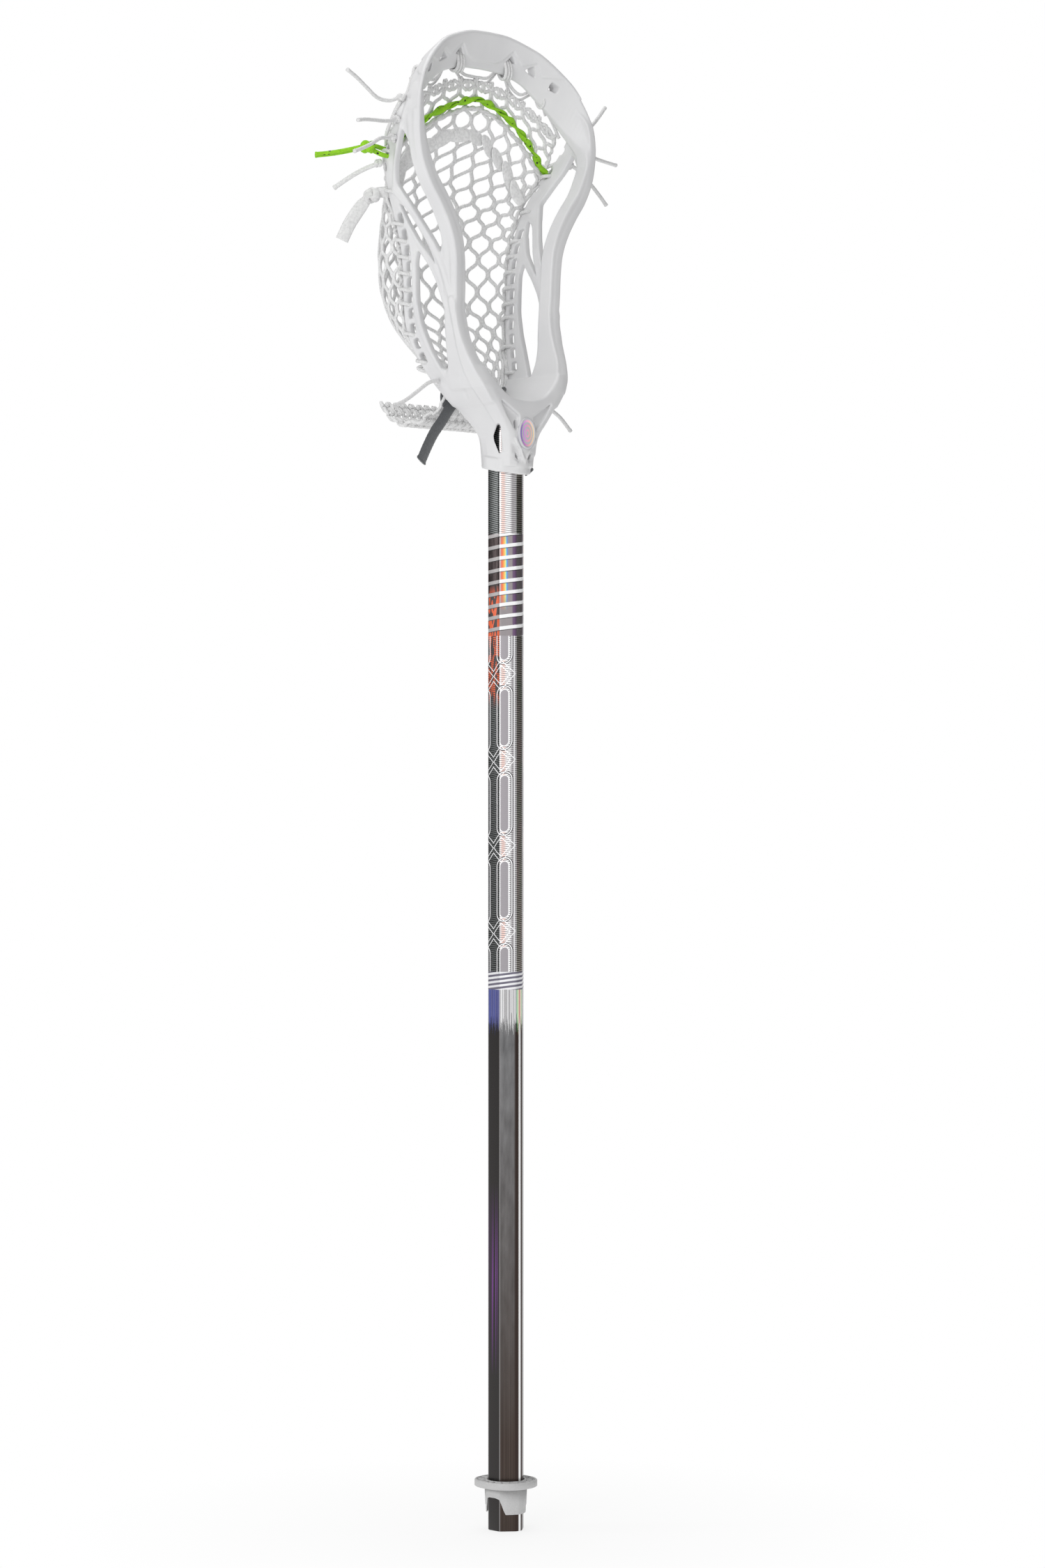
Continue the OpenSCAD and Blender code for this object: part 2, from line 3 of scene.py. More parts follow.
import bpy
import numpy as np
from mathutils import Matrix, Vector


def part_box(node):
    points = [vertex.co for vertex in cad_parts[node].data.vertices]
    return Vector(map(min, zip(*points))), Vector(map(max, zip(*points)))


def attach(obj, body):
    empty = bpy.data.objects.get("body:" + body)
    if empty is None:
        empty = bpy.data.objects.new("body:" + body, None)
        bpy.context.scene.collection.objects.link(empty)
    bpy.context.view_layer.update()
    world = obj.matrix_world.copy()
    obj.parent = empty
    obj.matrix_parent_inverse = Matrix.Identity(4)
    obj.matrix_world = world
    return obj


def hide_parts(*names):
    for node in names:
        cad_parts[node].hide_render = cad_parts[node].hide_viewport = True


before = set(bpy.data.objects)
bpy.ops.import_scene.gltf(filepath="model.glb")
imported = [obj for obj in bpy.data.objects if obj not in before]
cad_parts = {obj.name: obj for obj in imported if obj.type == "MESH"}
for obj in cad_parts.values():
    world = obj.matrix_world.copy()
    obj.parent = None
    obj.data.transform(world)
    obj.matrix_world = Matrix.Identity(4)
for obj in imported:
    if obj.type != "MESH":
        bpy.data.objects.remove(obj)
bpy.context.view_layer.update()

import openvdb as vdb
from mathutils import Vector

# ---- Camera ----
# It stands level, half way up the stick and 2.75 m away, turned 45 degrees to the stick's left,
# so that the open face, the left sidewall and the back of the pocket all show.
MM = 0.001
away = Vector((-1, -1, 0)).normalized()
across = Vector((1, -1, 0)).normalized()
aim = Vector((0, 0, 0.5049)) + across * 0.0113
camera = bpy.data.objects.new("camera", bpy.data.cameras.new("camera"))
camera.data.lens = 93.1
camera.data.sensor_width = 36
camera.location = aim + away * 2.75
camera.rotation_euler = (-away).to_track_quat("-Z", "Y").to_euler()
bpy.context.scene.collection.objects.link(camera)
bpy.context.scene.camera = camera
bpy.context.scene.view_settings.view_transform = "Standard"

# ---- Studio ----
# A white floor and white surroundings, with two dark screens out of view on either side, which
# the polished tube mirrors, a bright card behind the camera, and soft boxes that shape the head.


def shader(name, sockets):
    """A material whose main shader has these fixed values."""
    material = bpy.data.materials.new(name)
    material.use_nodes = True
    main = material.node_tree.nodes["Principled BSDF"]
    for socket, value in sockets.items():
        main.inputs[socket].default_value = value
    return material


def node(tree, kind, inputs=None, **settings):
    """A shader node with its inputs linked or set. Returns its first output."""
    made = tree.nodes.new("ShaderNode" + kind)
    for key, value in settings.items():
        setattr(made, key, value)
    for key, value in (inputs or {}).items():
        if isinstance(value, bpy.types.NodeSocket):
            tree.links.new(value, made.inputs[key])
        else:
            made.inputs[key].default_value = value
    return made.outputs[0]


def ramp(tree, factor, *stops, interpolation="LINEAR"):
    """A colour ramp through (place, colour) stops."""
    made = tree.nodes.new("ShaderNodeValToRGB")
    made.color_ramp.interpolation = interpolation
    tree.links.new(factor, made.inputs[0])
    elements = made.color_ramp.elements
    while len(elements) < len(stops):
        elements.new(0.5)
    for element, (place, colour) in zip(elements, stops):
        element.position = place
        element.color = (colour, colour, colour, 1) if isinstance(colour, (int, float)) else (*colour, 1)
    return made.outputs[0]


def set_up_world():
    world = bpy.data.worlds.new("studio")
    bpy.context.scene.world = world
    world.use_nodes = True
    tree = world.node_tree
    background = tree.nodes["Background"]
    direction = node(tree, "TexCoord")
    side = node(tree, "VectorMath", {0: direction, 1: across}, operation="DOT_PRODUCT")
    side = side.node.outputs["Value"]
    screens = node(tree, "Math", {0: side}, operation="ABSOLUTE")
    light = ramp(tree, screens, (0.0, 0.7), (0.5, 0.56), (0.72, 0.1), (1.0, 0.07))
    ahead = node(tree, "VectorMath", {0: direction, 1: away}, operation="DOT_PRODUCT").node.outputs["Value"]
    card = node(tree, "MapRange", {"Value": ahead, 1: 0.93, 2: 0.97})
    lit = node(tree, "Mix", {"Factor": card, 6: light, 7: (1.4, 1.4, 1.4, 1)}, data_type="RGBA")
    light = lit.node.outputs[2]
    seen = tree.nodes.new("ShaderNodeLightPath").outputs["Is Camera Ray"]
    mixed = node(tree, "Mix", {"Factor": seen, 6: light, 7: (1, 1, 1, 1)}, data_type="RGBA")
    tree.links.new(mixed.node.outputs[2], background.inputs["Color"])
    background.inputs["Strength"].default_value = 1.0


def soft_box(name, direction, size, power, distance=2.2, height=0.8):
    light = bpy.data.lights.new(name, "AREA")
    light.shape = "RECTANGLE"
    light.size, light.size_y = size
    light.energy = power
    box = bpy.data.objects.new(name, light)
    box.location = Vector((0, 0, height)) + Vector(direction).normalized() * distance
    facing = Vector((0, 0, height)) - box.location
    box.rotation_euler = facing.to_track_quat("-Z", "Y").to_euler()
    bpy.context.scene.collection.objects.link(box)


set_up_world()
soft_box("soft_box_front", away + Vector((0, 0, 0.35)) - across * 0.45, (0.9, 1.4), 15)
soft_box("soft_box_left", -across + away * 0.1 + Vector((0, 0, 0.25)), (0.5, 1.3), 9)
soft_box("soft_box_top", Vector((0.1, 0.2, 1.0)), (1.2, 1.2), 10, distance=1.4, height=0.9)


def make_floor():
    mesh = bpy.data.meshes.new("floor")
    mesh.from_pydata([(-9, -9, 0), (9, -9, 0), (9, 9, 0), (-9, 9, 0)], [], [(0, 1, 2, 3)])
    floor = bpy.data.objects.new("floor", mesh)
    floor.location.z = -0.0004
    bpy.context.scene.collection.objects.link(floor)
    material = shader("pale_floor", {"Base Color": (0.9, 0.9, 0.9, 1), "Roughness": 0.8})
    tree = material.node_tree
    main = tree.nodes["Principled BSDF"]
    glow = node(tree, "Emission", {"Color": (1, 1, 1, 1), "Strength": 1.0})
    place = node(tree, "TexCoord").node.outputs["Object"]
    reach = node(tree, "VectorMath", {0: place}, operation="LENGTH").node.outputs["Value"]
    share = ramp(tree, reach, (0.0, 0.82), (0.3, 1.0))
    mixed = node(tree, "MixShader", {0: share, 1: main.outputs[0], 2: glow})
    tree.links.new(mixed, tree.nodes["Material Output"].inputs["Surface"])
    mesh.materials.append(material)


make_floor()

# ---- Shaft ----
# An eight-sided drawn tube of polished alloy. Its upper part is wrapped in a holographic foil
# with fine slanted ribs, silver rings and outlined bars; below the foil the metal is bare.
shaft_low, shaft_high = (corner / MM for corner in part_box("shaft"))
SHAFT_LEN = shaft_high.z
SHAFT_W = shaft_high.x * 2
SHAFT_D = shaft_high.y * 2
SIDE_FLAT = 10.8
FRONT_FLAT = 5.0
WALL = 1.3


def make(name, shapes, material, replaced=(), smooth=True):
    """A piece from closed shapes of (points in mm, quads, triangles), all facing outwards."""
    points, quads, triangles, start = [], [], [], 0
    for p, q, t in shapes:
        p = np.asarray(p, float)
        q = np.asarray(q, int).reshape(-1, 4)
        t = np.asarray(t, int).reshape(-1, 3)
        fans = np.concatenate([q[:, [0, 1, 2]], q[:, [0, 2, 3]], t])
        a, b, c = (p[fans[:, k]] - p.mean(0) for k in range(3))
        if np.einsum("ij,ij->i", a, np.cross(b, c)).sum() < 0:
            q, t = q[:, ::-1], t[:, ::-1]
        points.append(p)
        quads.append(q + start)
        triangles.append(t + start)
        start += len(p)
    points, quads, triangles = (np.concatenate(part) for part in (points, quads, triangles))
    mesh = bpy.data.meshes.new(name)
    mesh.vertices.add(len(points))
    mesh.vertices.foreach_set("co", (points * MM).astype(np.float32).ravel())
    corners = np.concatenate([quads.ravel(), triangles.ravel()]).astype(np.int32)
    sizes = np.array([4] * len(quads) + [3] * len(triangles))
    mesh.loops.add(len(corners))
    mesh.loops.foreach_set("vertex_index", corners)
    mesh.polygons.add(len(sizes))
    mesh.polygons.foreach_set("loop_start", (np.cumsum(sizes) - sizes).astype(np.int32))
    mesh.update(calc_edges=True)
    mesh.validate()
    mesh.polygons.foreach_set("use_smooth", [smooth] * len(mesh.polygons))
    mesh.materials.append(material)
    piece = bpy.data.objects.new(name, mesh)
    bpy.context.scene.collection.objects.link(piece)
    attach(piece, "root")
    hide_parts(*replaced)
    return piece


def skin(rings, closed=False):
    """A shape through rings of points; its two ends are closed unless it runs round to its start."""
    rings = np.asarray(rings, float)
    n, k = rings.shape[:2]
    index = np.arange(n * k).reshape(n, k)
    after = np.roll(index, -1, 1)
    if closed:
        low, high = index, np.roll(index, -1, 0)
        a, b, c, d = index, after, np.roll(after, -1, 0), high
    else:
        a, b, c, d = index[:-1], after[:-1], after[1:], index[1:]
    quads = np.stack([a, b, c, d], -1).reshape(-1, 4)
    points = rings.reshape(-1, 3)
    triangles = np.zeros((0, 3), int)
    if not closed:
        points = np.concatenate([points, [rings[0].mean(0), rings[-1].mean(0)]])
        first, last = n * k, n * k + 1
        triangles = np.concatenate([
            np.stack([after[0], index[0], np.full(k, first)], -1),
            np.stack([index[-1], after[-1], np.full(k, last)], -1)])
    return points, quads, triangles


def octagon(grow, corner_r, steps=4):
    """The tube's outline moved out by grow, with its corners rounded."""
    w, d = SHAFT_W / 2 + grow, SHAFT_D / 2 + grow
    turn = math.atan2(SHAFT_W - FRONT_FLAT, SHAFT_D - SIDE_FLAT)
    s = SIDE_FLAT / 2 + grow * math.tan(turn / 2)
    f = FRONT_FLAT / 2 + grow * math.tan((math.pi / 2 - turn) / 2)
    corners = np.array([(w, -s), (w, s), (f, d), (-f, d), (-w, s), (-w, -s), (-f, -d), (f, -d)])
    line = []
    for k in range(8):
        here, back, on = corners[k], corners[k - 1], corners[(k + 1) % 8]
        a = here + (back - here) / np.linalg.norm(back - here) * corner_r
        b = here + (on - here) / np.linalg.norm(on - here) * corner_r
        for t in np.linspace(0, 1, steps):
            line.append(a * (1 - t) ** 2 + 2 * here * t * (1 - t) + b * t * t)
    return np.array(line)


def prism(outline, heights):
    return [np.column_stack([outline, np.full(len(outline), z)]) for z in heights]


def shaft_metal():
    material = shader("foil_and_polished_tube", {})
    tree = material.node_tree
    main = tree.nodes["Principled BSDF"]
    place = node(tree, "TexCoord").node.outputs["Object"]
    split = node(tree, "SeparateXYZ", {0: place}).node.outputs
    x, y, z = (node(tree, "Math", {0: split[k], 1: 1 / MM}, operation="MULTIPLY") for k in range(3))

    def sums(kind, a, b=0.0, c=0.0):
        return node(tree, "Math", {0: a, 1: b, 2: c}, operation=kind)

    def between(value, low, high, edge=0.15):
        rising = node(tree, "MapRange", {"Value": value, 1: low - edge, 2: low + edge})
        falling = node(tree, "MapRange", {"Value": value, 1: high - edge, 2: high + edge, 3: 1.0, 4: 0.0})
        return sums("MULTIPLY", rising, falling)

    def blend(share, a, b):
        a, b = ((*v, 1) if isinstance(v, tuple) and len(v) == 3 else v for v in (a, b))
        mixed = node(tree, "Mix", {"Factor": share, 6: a, 7: b}, data_type="RGBA")
        return mixed.node.outputs[2]

    def noise(across, along, detail=2.0):
        way = node(tree, "CombineXYZ", {0: sums("MULTIPLY", around, across), 2: sums("MULTIPLY", z, along)})
        return node(tree, "TexNoise", {"Vector": way, "Scale": 1.0, "Detail": detail})

    # millimetres round the tube from the front flat, then the same folded so that 0 is the middle
    # of the front or back flat and 19.6 the middle of a side flat
    around = sums("MULTIPLY", sums("ARCTAN2", x, sums("MULTIPLY", y, -1.0)), 12.5)
    fold = sums("PINGPONG", around, 19.63)
    on_side = between(fold, 14.2, 30.0, 0.25)
    on_front = between(fold, -9.0, 2.4, 0.25)
    climb = sums("MULTIPLY_ADD", around, -0.12, z)
    ribs = sums("SINE", sums("MULTIPLY", climb, 2 * math.pi / 1.3))
    ribs = node(tree, "MapRange", {"Value": ribs, 1: -0.55, 2: 0.35})
    # fine-ribbed foil with a blush of red; the ribs are the foil's own pattern, but its dark side flats, the
    # near-black rib troughs of the front flat, its silver slanted faces and the dimmer band on each slanted
    # face next to the front flat are painted reflection, one face lighter or darker than another
    blush = between(fold, 10.2, 13.2, 0.9)
    slanted_face_reflection = blend(ribs, (0.3, 0.29, 0.3), blend(blush, (0.98, 0.98, 0.98), (1.0, 0.66, 0.58)))
    # painted reflection: a dimmer band on each slanted face next to the front flat
    dim_reflection = blend(ribs, (0.16, 0.15, 0.16), (0.5, 0.48, 0.49))
    slanted_face_reflection = blend(between(fold, 3.0, 6.0, 0.8), slanted_face_reflection, dim_reflection)
    ribbed = blend(on_side, slanted_face_reflection, blend(ribs, (0.02, 0.02, 0.02), (0.2, 0.21, 0.21)))
    green_pink = blend(noise(0.2, 0.05), (0.25, 0.4, 0.28), (0.62, 0.42, 0.45))
    ribbed = blend(on_front, ribbed, blend(ribs, (0.04, 0.03, 0.03), green_pink))
    # silver rings over smoky bands, with a rainbow down the edge of each slanted face; the dark of the side
    # flats and the greyer rings on them are painted reflection
    part = sums("FRACT", sums("DIVIDE", sums("SUBTRACT", climb, 605.0), 7.9))
    ring = between(part, 0.7, 1.5, 0.02)
    ring_edge = between(part, 0.64, 0.7, 0.02)
    rainbow_at = sums("DIVIDE", sums("ADD", fold, noise(0.0, 0.03)), 20.0)
    rainbow = ramp(tree, rainbow_at, (0.42, (0.30, 0.27, 0.28)),
                   (0.47, (0.13, 0.25, 0.75)), (0.5, (0.2, 0.75, 0.7)), (0.53, (0.95, 0.85, 0.25)),
                   (0.58, (0.95, 0.42, 0.1)), (0.66, (0.85, 0.13, 0.07)), (0.7, (0.5, 0.4, 0.4)))
    bands = blend(between(z, 628, 674, 6.0), (0.30, 0.27, 0.28), rainbow)
    bands = blend(between(fold, 2.4, 5.0, 0.5), bands, (0.16, 0.1, 0.18))
    # side flats: red ink from z 560 to 634, elsewhere a painted dark reflection, flecked darker
    side_reflection_and_red_ink = blend(between(z, 560, 634, 5.0), (0.075, 0.06, 0.06), (0.74, 0.12, 0.04))
    side_reflection_and_red_ink = blend(sums("GREATER_THAN", noise(0.5, 0.12, 0.0), 0.52), side_reflection_and_red_ink, (0.05, 0.04, 0.04))
    bands = blend(on_side, bands, side_reflection_and_red_ink)
    bands = blend(ring_edge, bands, (0.03, 0.03, 0.03))
    # rings painted bright on the slanted and front faces and grey on the side flats, a painted reflection
    bands = blend(ring, bands, blend(on_side, (0.93, 0.93, 0.94), (0.4, 0.38, 0.38)))
    # long outlined bars with diamonds between them
    up = sums("ABSOLUTE", sums("SUBTRACT", sums("FLOORED_MODULO", climb, 58.0), 29.0))
    beyond = sums("MAXIMUM", sums("SUBTRACT", up, 16.0), 0.0)
    off = sums("SUBTRACT", fold, 10.8)
    bar = sums("SQRT", sums("ADD", sums("MULTIPLY", off, off), sums("MULTIPLY", beyond, beyond)))
    diamond = sums("ADD", sums("SUBTRACT", 29.0, up), sums("ABSOLUTE", sums("SUBTRACT", fold, 13.0)))
    line = sums("MAXIMUM", between(bar, 5.0, 5.7, 0.12), between(bar, 2.8, 3.3, 0.12))
    line = sums("MAXIMUM", line, between(diamond, 6.0, 6.7, 0.12))
    line = sums("MAXIMUM", line, between(diamond, 9.6, 10.3, 0.12))
    line = sums("MAXIMUM", line, between(fold, 3.7, 4.2, 0.1))
    line = sums("MULTIPLY", line, between(fold, 3.2, 40.0, 0.2))
    dark_edge = sums("MULTIPLY", between(bar, 4.5, 6.2, 0.2), between(fold, 3.6, 40.0, 0.2))
    inner = blend(sums("LESS_THAN", bar, 3.0), ribbed, blend(on_side, (0.34, 0.32, 0.34), side_reflection_and_red_ink))
    drawn = blend(dark_edge, inner, (0.04, 0.035, 0.04))
    red_side = sums("MULTIPLY", on_side, between(z, 560, 634, 5.0))
    drawn = blend(red_side, drawn, blend(sums("LESS_THAN", ribs, 0.35), side_reflection_and_red_ink, (0.04, 0.03, 0.03)))
    drawn = blend(line, drawn, (0.95, 0.95, 0.96))
    # a few close rings, then streaks that run down and stop at uneven heights
    close = between(sums("FRACT", sums("DIVIDE", climb, 2.9)), 0.5, 1.4, 0.05)
    close = blend(close, (0.16, 0.15, 0.2), (0.86, 0.86, 0.88))
    streak = noise(2.6, 0.0, 1.0)
    tint = blend(on_side, (0.2, 0.19, 0.2), blend(noise(0.9, 0.01), (0.03, 0.012, 0.12), (0.04, 0.08, 0.4)))
    hue = ramp(tree, sums("DIVIDE", fold, 3.0), (0.1, (0.7, 0.2, 0.15)), (0.4, (0.9, 0.8, 0.2)),
               (0.7, (0.15, 0.75, 0.35)), (1.0, (0.3, 0.28, 0.3)))
    tint = blend(on_front, tint, hue)
    streaks = blend(sums("MULTIPLY", sums("GREATER_THAN", streak, 0.5), sums("SUBTRACT", 1.0, sums(
        "MULTIPLY", on_side, 0.85))), tint, (0.92, 0.92, 0.93))
    # bare tube, darker towards the butt; its dark side and front flats, the bright stripe down the middle of
    # the front flat and the bright line along each side corner are painted reflection, and the glint on the
    # side flats is a painted highlight
    height = node(tree, "MapRange", {"Value": z, 1: 60.0, 2: 330.0})
    mottle = noise(0.25, 0.05, 5.0)
    brushed = noise(1.3, 0.004, 3.0)
    slanted = blend(height, blend(brushed, (0.02, 0.014, 0.012), (0.115, 0.09, 0.078)),
                    blend(mottle, (0.05, 0.05, 0.052), (0.3, 0.3, 0.305)))
    bright_streaks = node(tree, "MapRange", {"Value": brushed, 1: 0.48, 2: 0.66})
    glint = sums("MULTIPLY", between(z, 135, 205, 30.0), bright_streaks)
    bare = blend(on_side, slanted, blend(glint, (0.05, 0.047, 0.046), (0.26, 0.09, 0.36)))
    # painted reflection: the front flat dark, with a bright stripe down its middle
    bare = blend(between(fold, -9.0, 3.6, 0.5), bare, (0.05, 0.036, 0.032))
    bare = blend(between(fold, -9.0, 0.9, 0.2), bare, (0.85, 0.85, 0.85))
    # a painted highlight along the corner between each slanted face and side flat
    corner = between(sums("ABSOLUTE", sums("SUBTRACT", fold, 14.0)), -1.0, 0.25, 0.2)
    bare = blend(corner, bare, (0.3, 0.29, 0.29))
    colour = blend(between(z, 674, 900), drawn, ribbed)
    colour = blend(between(z, 605, 674), colour, bands)
    colour = blend(between(z, 366, 378), colour, close)
    colour = blend(between(z, 200, 366), colour, streaks)
    ends = sums("MULTIPLY_ADD", noise(2.2, 0.0, 1.0), -46.0, 366.0)
    foil = sums("GREATER_THAN", z, ends)
    colour = blend(foil, bare, colour)
    tree.links.new(colour, main.inputs["Base Color"])
    # printed lines and the red side are opaque ink, the rest is metal
    ink = sums("MULTIPLY", between(z, 378, 605), sums("MAXIMUM", sums("MULTIPLY", line, on_side), red_side))
    ink = sums("MAXIMUM", ink, sums("MULTIPLY", between(z, 605, 674), sums("MAXIMUM", ring, sums(
        "MAXIMUM", between(fold, 9.0, 14.2, 0.3), red_side))))
    ink = sums("MAXIMUM", ink, sums("MULTIPLY", between(z, 320, 378), 0.7))
    shine = node(tree, "MapRange", {"Value": sums("MULTIPLY", foil, ink), 3: 1.0, 4: 0.12})
    tree.links.new(shine, main.inputs["Metallic"])
    tree.links.new(node(tree, "MapRange", {"Value": foil, 3: 0.24, 4: 0.3}), main.inputs["Roughness"])
    bump = node(tree, "Bump", {"Strength": 0.1, "Distance": 0.0001, "Height": sums("MULTIPLY", foil, ribs)})
    tree.links.new(bump, main.inputs["Normal"])
    return material


EDGE = 0.35
tube_outside = [*prism(octagon(-EDGE, 1.4), [0]), *prism(octagon(0, 1.5), [EDGE]),
                *prism(octagon(0, 1.5), np.linspace(20, SHAFT_LEN - 20, 30)),
                *prism(octagon(0, 1.5), [SHAFT_LEN - EDGE]), *prism(octagon(-EDGE, 1.4), [SHAFT_LEN])]
tube_inside = prism(octagon(-WALL, 0.8), [SHAFT_LEN, 20, 0])
make("shaft_tube", [skin([*tube_outside, *tube_inside], closed=True)], shaft_metal(),
     ["shaft"])

# ---- Butt plug ----
# A rubber plug pressed into the open end of the tube, flush with the cut.
plug_low, plug_high = (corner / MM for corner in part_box("butt_plug"))


def rubber():
    material = shader("black_rubber", {"Base Color": (0.02, 0.02, 0.022, 1), "Roughness": 0.6})
    tree = material.node_tree
    grain = node(tree, "TexNoise", {"Vector": node(tree, "TexCoord").node.outputs["Object"],
                                    "Scale": 900.0, "Detail": 4.0})
    bump = node(tree, "Bump", {"Strength": 0.3, "Distance": 0.0002, "Height": grain})
    tree.links.new(bump, tree.nodes["Principled BSDF"].inputs["Normal"])
    return material


plug_fit = plug_high.x - SHAFT_W / 2
plug_profile = [(-3, 1.2), (-3, 0.2), (-0.8, 0), (0, 0.8), (0, plug_high.z)]
plug_rings = [prism(octagon(plug_fit + grow, 0.8), [z])[0] for grow, z in plug_profile]
make("butt_plug_rubber", [skin(plug_rings)], rubber(), ["butt_plug"])

# ---- Butt collar ----
# A light grey moulded collar pushed on over the tube: an oval flange with a ribbed tray in its
# top, and a tapered skirt under it with an arched notch on each side.
collar_low, collar_high = (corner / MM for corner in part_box("butt_collar"))
FLANGE_T = 4.8
SKIRT_H = collar_high.z - collar_low.z - FLANGE_T
FIT = 0.1


def oval(a, b, count=48, squareness=2.35):
    """An oval that is a little squared, as a closed line."""
    turns = np.linspace(0, 2 * np.pi, count, endpoint=False)
    c, s = np.cos(turns), np.sin(turns)
    power = 2 / squareness
    return np.column_stack([a * np.sign(c) * np.abs(c) ** power, b * np.sign(s) * np.abs(s) ** power])


def spread(outline, count=64):
    """The same closed outline as count points at even angles round its middle."""
    ways = np.arctan2(outline[:, 1], outline[:, 0])
    order = np.argsort(ways)
    ways, reach = ways[order], np.hypot(*outline[order].T)
    turns = np.linspace(-np.pi, np.pi, count, endpoint=False)
    r = np.interp(turns, np.r_[ways - 2 * np.pi, ways, ways + 2 * np.pi], np.tile(reach, 3))
    return np.column_stack([r * np.cos(turns), r * np.sin(turns)])


def grey_plastic():
    material = shader("light_grey_plastic", {"Roughness": 0.45})
    tree = material.node_tree
    place = node(tree, "TexCoord").node.outputs["Object"]
    grain = node(tree, "TexNoise", {"Vector": place, "Scale": 1400.0, "Detail": 3.0})
    colour = ramp(tree, grain, (0.2, 0.5), (0.8, 0.6))
    tree.links.new(colour, tree.nodes["Principled BSDF"].inputs["Base Color"])
    bump = node(tree, "Bump", {"Strength": 0.25, "Distance": 0.0001, "Height": grain})
    tree.links.new(bump, tree.nodes["Principled BSDF"].inputs["Normal"])
    return material


def collar_flange():
    a, b = collar_high.x, collar_high.y
    low, high = collar_high.z - FLANGE_T, collar_high.z
    outer = [(-0.7, low), (0, low + 0.6), (0, high - 0.6), (-0.5, high), (-1.1, high), (-1.4, high - 0.3),
             (-1.5, high - 1.6)]
    rings = [prism(spread(oval(a + grow, b + grow)), [z])[0] for grow, z in outer]
    inner = [(1.5, high - 1.6), (1.5, high - 0.3), (1.2, high), (FIT, high), (FIT, low)]
    rings += [prism(spread(octagon(grow, 1.5)), [z])[0] for grow, z in inner]
    return skin(rings, closed=True)


def tray_ribs(count=16):
    """Thin walls across the tray, from the tube's collar out to the rim."""
    high, shapes = collar_high.z - 0.15, []
    for k in range(count):
        way = (k + 0.5) * 2 * math.pi / count
        out = np.array([math.cos(way), math.sin(way)])
        side = np.array([-out[1], out[0]]) * 0.45
        reach = 1 / math.hypot(out[0] / (collar_high.x - 1), out[1] / (collar_high.y - 1))
        near = reach - 6.2
        ring = [[*(out * r + side * s), z] for r in (near, reach)
                for s, z in ((1, high - 1.6), (1, high), (-1, high), (-1, high - 1.6))]
        shapes.append(skin(np.array(ring).reshape(2, 4, 3)))
    return shapes


def notch_height(y):
    """How high the notch in a side of the skirt reaches at a distance y from its middle."""
    return np.clip((8.9 - np.abs(y)) * 3.2, 0, 11) - 0.12 * np.clip(np.abs(y) - 2, 0, 2.5) ** 2


def collar_skirt(count=96):
    """A tapered wall from the notched lower edge up to the flange."""
    low = collar_low.z
    tube = spread(octagon(0, 1.5), count)
    sides = np.abs(tube[:, 0]) > SHAFT_W / 2 * 0.6
    start = np.where(sides, low + np.clip(notch_height(tube[:, 1]), 0, None), low)
    rings = []
    profile = [(0.8, 0.0), (0.95, 0.06), (1.05, 0.27), (1.35, 0.3), (1.8, 1.0)]
    for grow, t in profile:
        line = spread(octagon(grow, 1.5), count)
        z = start + (low + SKIRT_H - start) * t
        rings.append(np.column_stack([line, z]))
    inside = spread(octagon(FIT, 1.5), count)
    rings.append(np.column_stack([inside, np.full(count, low + SKIRT_H)]))
    rings.append(np.column_stack([inside, start]))
    return skin(rings, closed=True)


make("butt_collar_moulding", [collar_flange(), *tray_ribs(), collar_skirt()], grey_plastic(),
     ["butt_collar"])

